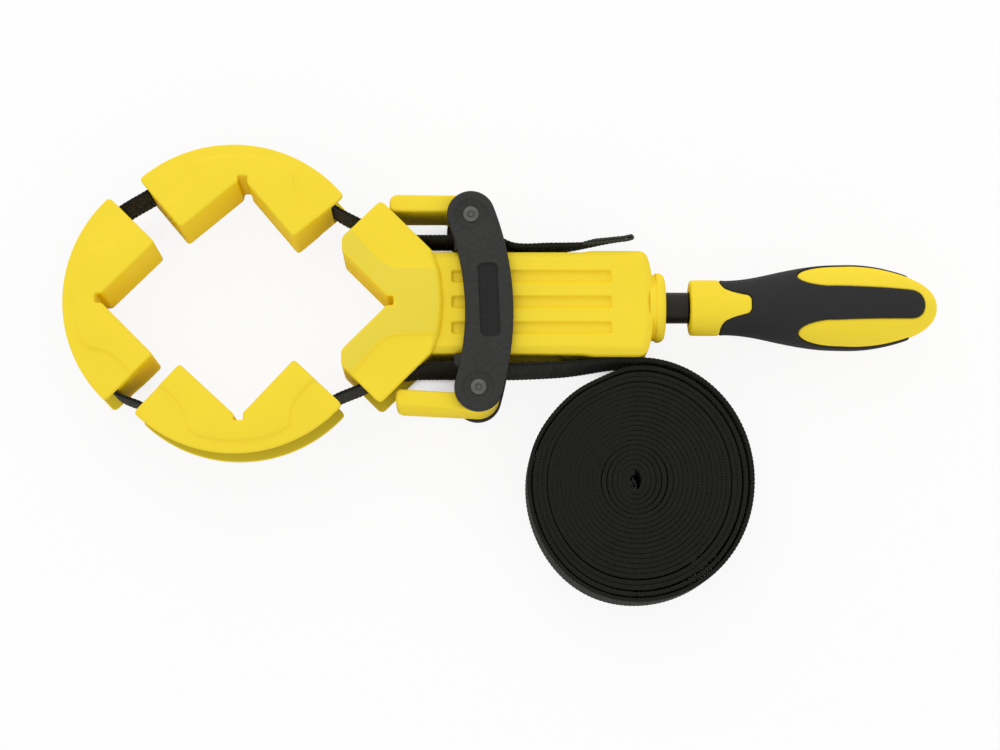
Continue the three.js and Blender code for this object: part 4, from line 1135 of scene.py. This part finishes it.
# screw, and pieces inside the housing
driveScrew = {
    "front": 16.25, "journal": 4, "threadStart": 25.7, "threadEnd": 68.15, "crest": 5.7, "root": 4.7,
    "lead": 3.5, "leadSteps": 12, "flank": (1.7, 4.4), "fade": 1.5, "aroundSteps": 56, "shaft": 6.2,
    "collarStart": 93.3, "collarEnd": 96.5, "collar": 9.2, "end": 118.2, "tang": 4.6, "tangEnd": 169.6,
    "edge": 0.5, "holePlace": 124.6, "holeHeights": (0, 40), "hole": 2.2,
}


def makeDriveScrew():
    size = driveScrew
    steps, edge, shaft, journal = size["aroundSteps"], size["edge"], size["shaft"], size["journal"]
    front, first, last, end = size["front"], size["threadStart"], size["threadEnd"], size["end"]
    near, far, collar = size["collarStart"], size["collarEnd"], size["collar"]
    stations = [[front, journal - edge, 0], [front + edge, journal, 0], [first, journal, 0]]
    along = first
    while along < last:
        stations.append([along, size["root"], 1])
        along += size["lead"] / size["leadSteps"]
    stations += [[place, radius, 0] for place, radius in (
        (last, size["root"]), (last, shaft - edge), (last + edge, shaft),
        (near, shaft), (near, collar - edge), (near + edge, collar),
        (far - edge, collar), (far, collar - edge), (far, shaft),
        (end - edge, shaft), (end, shaft - edge), (end, size["tang"]), (size["tangEnd"], size["tang"]),
    )]
    high, steep = size["flank"]
    shell = Shell()
    rings = []
    for place, radius, threaded in stations:
        points = []
        for i in range(steps):
            turn = 2 * math.pi * i / steps
            grown = radius
            if threaded:
                phase = ((place - first) / size["lead"] - i / steps) % 1
                rise = min(1, max(0, high - abs(phase - 0.5) * steep))
                fade = min(1, (place - first) / size["fade"], (last - place) / size["fade"])
                grown += (size["crest"] - size["root"]) * rise * max(fade, 0)
            points.append((place + apexX, grown * math.cos(turn), axisZ + grown * math.sin(turn)))
        rings.append(shell.add(points))
    shell.tube(rings)
    screw = makePiece("threadedSpindle", shell, blackSteel, "screw", ["drive_screw"])
    cutFrom(screw, postCutter("pinWay", size["holePlace"] + apexX, 0, *size["holeHeights"], size["hole"]))


def softened(node, name, finish, width):
    # the CAD shape with its edges rounded
    source, record = frame["nodes"][node], frame["record"]
    body = next(key for key, nodes in record["behaviour"]["bodies"].items() if node in nodes)
    mesh = source.data.copy()
    mesh.transform(source.matrix_world)
    work = bmesh.new()
    work.from_mesh(mesh)
    bmesh.ops.remove_doubles(work, verts=work.verts, dist=1e-6)
    bmesh.ops.dissolve_limit(work, angle_limit=math.radians(1), verts=work.verts, edges=work.edges)
    edges = [e for e in work.edges if len(e.link_faces) == 2 and e.calc_face_angle() > math.radians(40)]
    bmesh.ops.bevel(
        work, geom=edges, offset=width * mm, segments=2, affect="EDGES", profile=0.5, clamp_overlap=True)
    work.to_mesh(mesh)
    work.free()
    mesh.materials.clear()
    putPiece(name, mesh, finish, body, [node], sharpAngle)


makeDriveScrew()
softened("nut_block", "nutCarrier", black, 0.35)
softened("drive_nut", "hexNut", brass, 0.3)
softened("cross_pin", "lockPin", brightSteel, 0.3)
for end in ("front", "rear"):
    softened(f"{end}_thrust_washer", f"{end}Washer", brightSteel, 0.15)
print("screw and inner pieces made")

# handle
handle = {
    "start": 117.6, "length": 99.9, "radius": 17.2, "grip": 1.7, "gap": 0.3, "collar": 12.8, "gripEnd": 93.8,
    "sideEnd": 89, "topHalf": 7, "topEndHalf": 5.8, "sideHalf": 4, "nose": 40.5, "noseLength": 17,
    "petalSink": 0.6, "petalFrom": 30, "petalTurn": 50, "spread": 27, "overlap": 0.15, "bore": 4.9,
    "front": 0.8, "rimRound": 2.2, "patternTurn": 2.3, "edge": 0.55, "edgeDeep": 0.4,
    "aroundSteps": 220, "spacing": 0.42, "curveSteps": 12, "noseSteps": 16,
    "underGap": 0.2, "underFrom": 2, "underRear": 4, "underSteps": 48,
    "shares": [
        [0.0, 0.57], [0.012, 0.64], [0.122, 0.645], [0.15, 0.635], [0.2, 0.65], [0.253, 0.69], [0.31, 0.755],
        [0.37, 0.832], [0.45, 0.92], [0.53, 0.98], [0.61, 1.0], [0.69, 0.995], [0.77, 0.935], [0.85, 0.82],
        [0.91, 0.69], [0.955, 0.54], [0.985, 0.37], [1.0, 0.2],
    ],
    "tongue": [
        [0.94, 0.8], [1.02, 0.52], [1.12, 0.41], [1.38, 0.315], [1.66, 0.255], [1.86, 0.21], [1.94, 0.12],
    ],
}


def handleProfile():
    # evenly spaced points of [along, radius], from inside the front hole to the middle of the rear end
    size = handle
    steps, start = size["curveSteps"], size["front"]
    spots = [Vector((a * size["length"], b * size["radius"])) for a, b in size["shares"]]
    curve = []
    for i in range(len(spots) - 1):
        p0, p1, p2, p3 = spots[max(i - 1, 0)], spots[i], spots[i + 1], spots[min(i + 2, len(spots) - 1)]
        bend, twist = 2 * p0 - 5 * p1 + 4 * p2 - p3, 3 * p1 - p0 - 3 * p2 + p3
        for step in range(steps):
            t = step / steps
            curve.append(0.5 * (2 * p1 + (p2 - p0) * t + bend * t ** 2 + twist * t ** 3))
    curve.append(spots[-1])
    front = outline([
        [4, size["bore"]], [start, size["bore"], 0.4], [start, curve[steps].y, size["rimRound"]],
        list(curve[steps + 2]),
    ], 5)[:-1]
    rear = outline([list(curve[-3]), [size["length"], curve[-1].y, 2.5], [size["length"], 0]], 6)[1:]
    path = [*front, *curve[steps + 2:-3], *rear]
    lengths = lengthsAlong(path)
    at = np.linspace(0, lengths[-1], int(lengths[-1] / size["spacing"]))
    return np.interp(at, lengths, [p.x for p in path]), np.interp(at, lengths, [max(p.y, 0) for p in path])


def yellowField(along, turn, radius):
    # how far inside the yellow regions each place of the handle lies, negative on the black grip
    size = handle
    across, upward = radius * np.sin(turn), radius * np.cos(turn)
    collar = size["collar"] - along
    side = [[a * size["collar"], b * size["radius"]] for a, b in size["tongue"]]
    side = [list(p) for p in curveThrough(side, 40)]
    side = [[0, side[0][1]], *side]
    tongue = within(along, across, [*side, *mirrored(side)])
    middle = size["nose"] + size["noseLength"]

    def strip(half, endHalf, end, place):
        corners = [[size["nose"] - 20, half], [middle, half], [end, endHalf, endHalf]]
        return within(along, place, outline([*corners, *mirrored(corners)], 12))
    strips = np.maximum(
        strip(size["topHalf"], size["topEndHalf"], size["gripEnd"], across),
        strip(size["sideHalf"], size["sideHalf"] / 2, size["sideEnd"], upward),
    )
    half = size["radius"] * math.sin(math.radians(size["spread"]))
    long = size["noseLength"]
    nose = [
        [middle - math.cos(t) * long + long * size["overlap"], math.sin(t) * half]
        for t in spread(0, math.pi / 2, size["noseSteps"])
    ]
    nose.append([size["length"], half])
    petal = [*nose, *mirrored(nose[1:])]
    rear = np.minimum(along - middle, -strips)
    for way in (1, -1):
        for base in (0, math.pi):
            tilt = turn - base - way * math.radians(size["petalTurn"])
            leaf = np.where(np.cos(tilt) > 0, within(along, radius * np.sin(tilt), petal), -9.0)
            rear = np.maximum(rear, np.minimum(leaf, -strips))
    return np.maximum.reduce([collar, tongue, rear])


def skinPatch(points, field, triangles, level, sign):
    # the triangles on one side of a level of the field, cut along that level
    verts, index, faces = [], {}, []

    def own(i):
        if i not in index:
            index[i] = len(verts)
            verts.append((points[i], (field[i] - level) * sign))
        return index[i]

    def between(i, j):
        key = (min(i, j), max(i, j))
        if key not in index:
            i, j = key
            share = (level - field[i]) / (field[j] - field[i])
            index[key] = len(verts)
            verts.append((points[i] + (points[j] - points[i]) * share, 0.0))
        return index[key]
    inside = (field - level) * sign > 0
    for triangle in triangles:
        kept = [inside[i] for i in triangle]
        if all(kept):
            faces.append(tuple(own(i) for i in triangle))
        elif any(kept):
            shape = []
            for k in range(3):
                i, j = triangle[k], triangle[(k + 1) % 3]
                if inside[i]:
                    shape.append(own(i))
                if inside[i] != inside[j]:
                    shape.append(between(i, j))
            faces.append(tuple(shape))
    return verts, faces


def makeHandle():
    size = handle
    along, radius = handleProfile()
    steps = size["aroundSteps"]
    turns = np.linspace(0, 2 * math.pi, steps, endpoint=False)
    place, turn = np.repeat(along, steps), np.tile(turns, len(along))
    radii = np.repeat(radius, steps)
    field = yellowField(place, turn + math.radians(size["patternTurn"]), radii)
    points = np.stack([place, radii * np.sin(turn), radii * np.cos(turn)], axis=1)
    triangles = []
    for row in range(len(along) - 1):
        for i in range(steps):
            a, b = row * steps + i, row * steps + (i + 1) % steps
            c, d = a + steps, b + steps
            triangles += [(a, c, b), (b, c, d)] if (row + i) % 2 else [(a, c, d), (a, d, b)]
    for name, node, finish, slot, sign, depth in (
        ("handleCore", "handle_core", yellow, "yellow_plastic", 1, size["grip"] + size["gap"]),
        ("handleGrip", "handle_grip", grip, "soft_grip", -1, size["grip"]),
    ):
        verts, faces = skinPatch(points, field, triangles, sign * size["gap"] / 2, sign)
        shell = Shell()
        outer, inner = [], []
        for spot, inside in verts:
            lowered = size["edgeDeep"] * (1 - min(1, inside / size["edge"])) ** 2
            if sign > 0 and spot[0] > size["petalFrom"]:
                lowered += size["petalSink"]
            reach = math.hypot(spot[1], spot[2])
            share = (reach - lowered) / reach if reach > 2 else 1
            outer.append((spot[0], spot[1] * share, spot[2] * share))
            share = max(reach - depth, 0.1) / max(reach, 0.1)
            inner.append((spot[0], spot[1] * share, spot[2] * share))
        count = len(verts)
        shell.points = outer + inner
        shell.faces = list(faces) + [tuple(i + count for i in reversed(face)) for face in faces]
        # walls join both skins along the cut
        borders = dict.fromkeys((i, j) for face in faces for i, j in zip(face, face[1:] + face[:1]))
        for i, j in borders:
            if (j, i) not in borders and verts[i][1] < 1e-9 and verts[j][1] < 1e-9:
                shell.faces.append((j, i, i + count, j + count))
        if sign > 0:
            # the core goes on as a plain body under the grip
            under = [
                [a, max(r - depth - size["underGap"], 0.3)] for a, r in zip(along[::10], radius[::10])
                if size["underFrom"] < a < size["length"] - size["underRear"]
            ]
            shell.lathe(under, size["underSteps"])
            skin, plain = shell.points[:2 * count], shell.points[2 * count:]
            shell.points = skin + [(x, y, z - axisZ) for x, y, z in plain]
        shell.points = [(x + size["start"] + apexX, y, z + axisZ) for x, y, z in shell.points]
        makePiece(name, shell, finish, "screw", [node], sharp=50, merge=1e-4)


makeHandle()
print("handle made")

# band
band = {
    "width": 25, "thickness": 1.35, "edge": 0.42, "step": 0.28, "ribPitch": 1.7, "ribHeight": 0.2,
    "ribShare": 0.6, "ribTrim": 0.7, "carriageFront": 24.7, "carriageRear": 40.7, "cheek": 8, "jointGap": 0.3,
    "lean": 2.2, "leanRamp": 6, "leadLean": 1.9, "leadRamp": 1.6, "blendFrom": -0.035, "blendTo": -0.0205,
}
tail = {
    "straight": 28, "drop": 3, "rise": 0.25, "endReach": 70, "endLift": 1.9, "fold": 19, "foldGap": -0.04,
    "foldTaper": 6, "foldThin": 0.2, "endBend": 0.5, "bendLength": 1.25, "thickness": 1.15, "lean": 5,
    "loop": 0.35, "loopLength": 2.5,
}
roll = {
    "turns": 22, "pitch": 1.823, "inner": 3.4, "x": 95.4, "y": -70.2, "oval": 1.055, "drift": 1.9,
    "loose": 0.7, "looseTurns": 1.9, "slack": 0.5, "slackTurns": 4.2, "ease": 0.65, "fall": 5,
    "thickness": 1.74, "outerThickness": 1.65, "outerTurns": 1.5, "coarseStep": 1.1, "endStep": 1.25,
    "coreNarrow": 0.72, "coreTurns": 6, "lift": 1.25, "liftTurns": 0.6,
    "bulges": [(0, 35, -0.5), (110, 14, -1.4), (134, 24, -1.8), (240, 30, 1.1)],
}
bandLow, bandTop = axisZ - band["width"] / 2, axisZ + band["width"] / 2
tailStart = band["carriageRear"] + 2 * band["cheek"] * tail["endBend"]
tailEnd = pivotX + tail["endReach"] - band["cheek"]


def ribbonShell(path, along, thickness, low=bandLow, ribs=1):
    # a band on edge; ribs is how strongly the ribs show, and low is the height of its lower edge
    size = band
    thickness, low, ribs = (each(value, len(path)) for value in (thickness, low, ribs))
    shell, weaveSpots, rings = Shell(), [], []
    for i, point in enumerate(path):
        side = leftOf((path[min(i + 1, len(path) - 1)] - path[max(i - 1, 0)]).normalized())
        wave = abs(math.cos(math.pi * along[i] / size["ribPitch"])) ** size["ribShare"]
        half = thickness[i] / 2 - size["ribHeight"] * (1 - wave) * ribs[i]
        trim = size["ribTrim"] * size["ribHeight"] * (1 - wave) * ribs[i]
        bottom, top = low[i] + trim, low[i] + size["width"] - trim
        edge = min(size["edge"], half * 0.8)
        right = [
            (-half + edge, bottom), (-half + edge * 0.3, bottom + edge * 0.3), (-half, bottom + edge),
            (-half, (bottom + top) / 2),
            (-half, top - edge), (-half + edge * 0.3, top - edge * 0.3), (-half + edge, top),
        ]
        section = right + [(-a, z) for a, z in reversed(right)]
        rings.append(shell.add([(point.x + side.x * a, point.y + side.y * a, z) for a, z in section]))
        weaveSpots += [(along[i], z - low[i]) for _, z in section]
    shell.tube(rings)
    return shell, weaveSpots


def leaned(shell, most, foot, share):
    # leans the band over its width; foot is the height that stays, and share grows from 0 to 1 along it
    shell.points = [
        (x, y + most * float(smooth(share(x, y))) * (z - foot) / band["width"], z) for x, y, z in shell.points
    ]


def makeBand(name, shell, spots, body, nodes, length):
    # as makePiece, with the weave's own map
    mesh = bpy.data.meshes.new(name)
    mesh.from_pydata([Vector((x + apexX, y, z)) * mm for x, y, z in shell.points], [], shell.faces)
    layer = mesh.uv_layers.new(name="weave")
    corners = np.zeros(len(mesh.loops), dtype=np.int32)
    mesh.loops.foreach_get("vertex_index", corners)
    layer.data.foreach_set("uv", np.array(spots, dtype=np.float32)[corners].ravel())
    work = bmesh.new()
    work.from_mesh(mesh)
    bmesh.ops.recalc_face_normals(work, faces=work.faces)
    work.to_mesh(mesh)
    work.free()
    piece = putPiece(name, mesh, weave, body, nodes, 60)
    length * mm
    return piece


def makeLoop():
    size = band
    front = fixedJaw["bandEnd"]
    side = [Vector((x, bandSide)) for x in np.linspace(front, size["carriageFront"], 30)[1:]]
    path = [Vector((p.x, -p.y)) for p in reversed(side)] + loopPath(900) + side
    points, along = evenly(path, size["step"])
    shell, spots = ribbonShell(points, along, size["thickness"])
    leaned(shell, size["lean"], bandLow, lambda x, y: (x - front) / size["leanRamp"] if y < 0 else 0)
    nodes = ["band_loop", "band_side_right", "band_side_left"]
    loop = makeBand("webbingLoop", shell, spots, None, nodes, along[-1])
    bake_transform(loop)


def tailPath():
    inside, rear = bandSide - tail["drop"], band["carriageRear"]
    straight = tailStart + tail["straight"]
    return curveThrough([
        [band["carriageFront"], bandSide], [pivotX, bandSide], [rear, bandSide], [tailStart, inside],
        [(tailStart + straight) / 2, inside], [straight, inside + tail["rise"]],
        [tailEnd, inside + tail["endLift"]],
    ], 300)


def makeTail():
    # the free end is folded back on its outer side and sewn, with a small open loop at the fold
    size = tail
    points, along = evenly(tailPath(), band["step"])
    total = along[-1]
    reach = size["thickness"] + size["foldGap"]

    def thinned(rest):
        return min(1, size["foldThin"] + rest / size["foldTaper"])
    end = points[-1]
    way = (end - points[-4]).normalized()
    side = leftOf(way)
    half = (reach + size["loop"]) / 2
    bend = [
        end + side * half + (way * math.sin(turn) * size["bendLength"] - side * math.cos(turn)) * half
        for turn in np.linspace(0, math.pi, 14)[1:]
    ]
    back = []
    for i in range(len(points) - 1, -1, -1):
        left = total - along[i]
        if left > size["fold"]:
            break
        near = (points[i] - points[max(i - 2, 0)]).normalized()
        lift = reach - size["thickness"] * (1 - thinned(size["fold"] - left)) / 2
        lift += size["loop"] * max(0, 1 - left / size["loopLength"])
        back.append(points[i] + leftOf(near) * lift)
    whole, along = evenly([*points, *bend, *back[1:]], band["step"])
    thin = [size["thickness"] * thinned(along[-1] - a) for a in along]
    shell, spots = ribbonShell(whole, along, thin)
    leaned(shell, -size["lean"], bandTop, lambda x, y: (x - tailStart) / (tailEnd - tailStart))
    piece = makeBand("webbingTail", shell, spots, "carriage", ["band_tail"], along[-1])
    piece.data.materials.append(paleWeave)
    for face in piece.data.polygons:
        if face.center.x > (tailEnd - size["fold"] + apexX) * mm:
            face.material_index = 1


def rollPoint(turns):
    size = roll

    def opened(before):
        return float(smooth((turns - (size["turns"] - before)) / size["ease"]))
    extra = size["loose"] * opened(size["looseTurns"]) + size["slack"] * opened(size["slackTurns"])
    extra += size["lift"] * float(smooth((turns - size["turns"]) / size["liftTurns"] + 1))
    radius = size["inner"] + size["pitch"] * turns + extra
    turn = math.pi / 2 - 2 * math.pi * (size["turns"] - turns)
    for middle, width, most in size["bulges"]:
        away = (math.degrees(turn) - middle + 180) % 360 - 180
        radius += most * math.exp(-(away / width) ** 2) * (turns / size["turns"]) ** 2
    narrow = size["coreNarrow"] + (1 - size["coreNarrow"]) * min(1, turns / size["coreTurns"])
    x = size["x"] + size["drift"] * turns / size["turns"] + math.cos(turn) * radius * narrow
    return Vector((x, size["y"] + math.sin(turn) * radius * size["oval"]))


rollEnd = rollPoint(roll["turns"]) - Vector((roll["endStep"], 0))


def makeRoll():
    size = roll
    fineFrom = size["turns"] - size["outerTurns"]
    inside = [rollPoint(t) for t in np.arange(0, fineFrom, 1 / 90)]
    outside = [rollPoint(t) for t in np.linspace(fineFrom, size["turns"], 400)]
    coarse, first = evenly(inside, size["coarseStep"])
    fine, second = evenly([inside[-1], *outside, rollEnd], band["step"])
    path, along = coarse + fine[1:], np.concatenate([first, first[-1] + second[1:]])
    ribs = [0] * len(coarse) + [1] * (len(fine) - 1)
    thick = [size["outerThickness"] if rib else size["thickness"] for rib in ribs]
    shell, spots = ribbonShell(path, along, thick, bandLow - size["fall"], ribs)
    makeBand("webbingRoll", shell, spots, "carriage", ["band_roll"], along[-1])


def makeLead():
    # from the carriage to the roll, coming down to the table on the way
    size, end = band, rollEnd
    rear, cheek, side = size["carriageRear"], size["cheek"], -bandSide
    path = curveThrough([
        [size["carriageFront"], side], [pivotX, side], [rear, side], [rear + cheek, side],
        [(rear + end.x) / 2, (side * 2 + end.y) / 3], [end.x - cheek, end.y], [end.x - size["jointGap"], end.y],
    ], 300)
    points, along = evenly(path, size["step"])
    low = [bandLow - roll["fall"] * float(smooth((p.x - rear) / (end.x - cheek / 2 - rear))) for p in points]
    shell, spots = ribbonShell(points, along, size["thickness"], low)
    leaned(shell, size["leadLean"], bandLow, lambda x, y: (end.x - x) / (end.x - rear) * size["leadRamp"])
    makeBand("webbingLead", shell, spots, "carriage", ["band_lead"], along[-1])


makeLoop()
makeTail()
makeLead()
makeRoll()
print("band made")
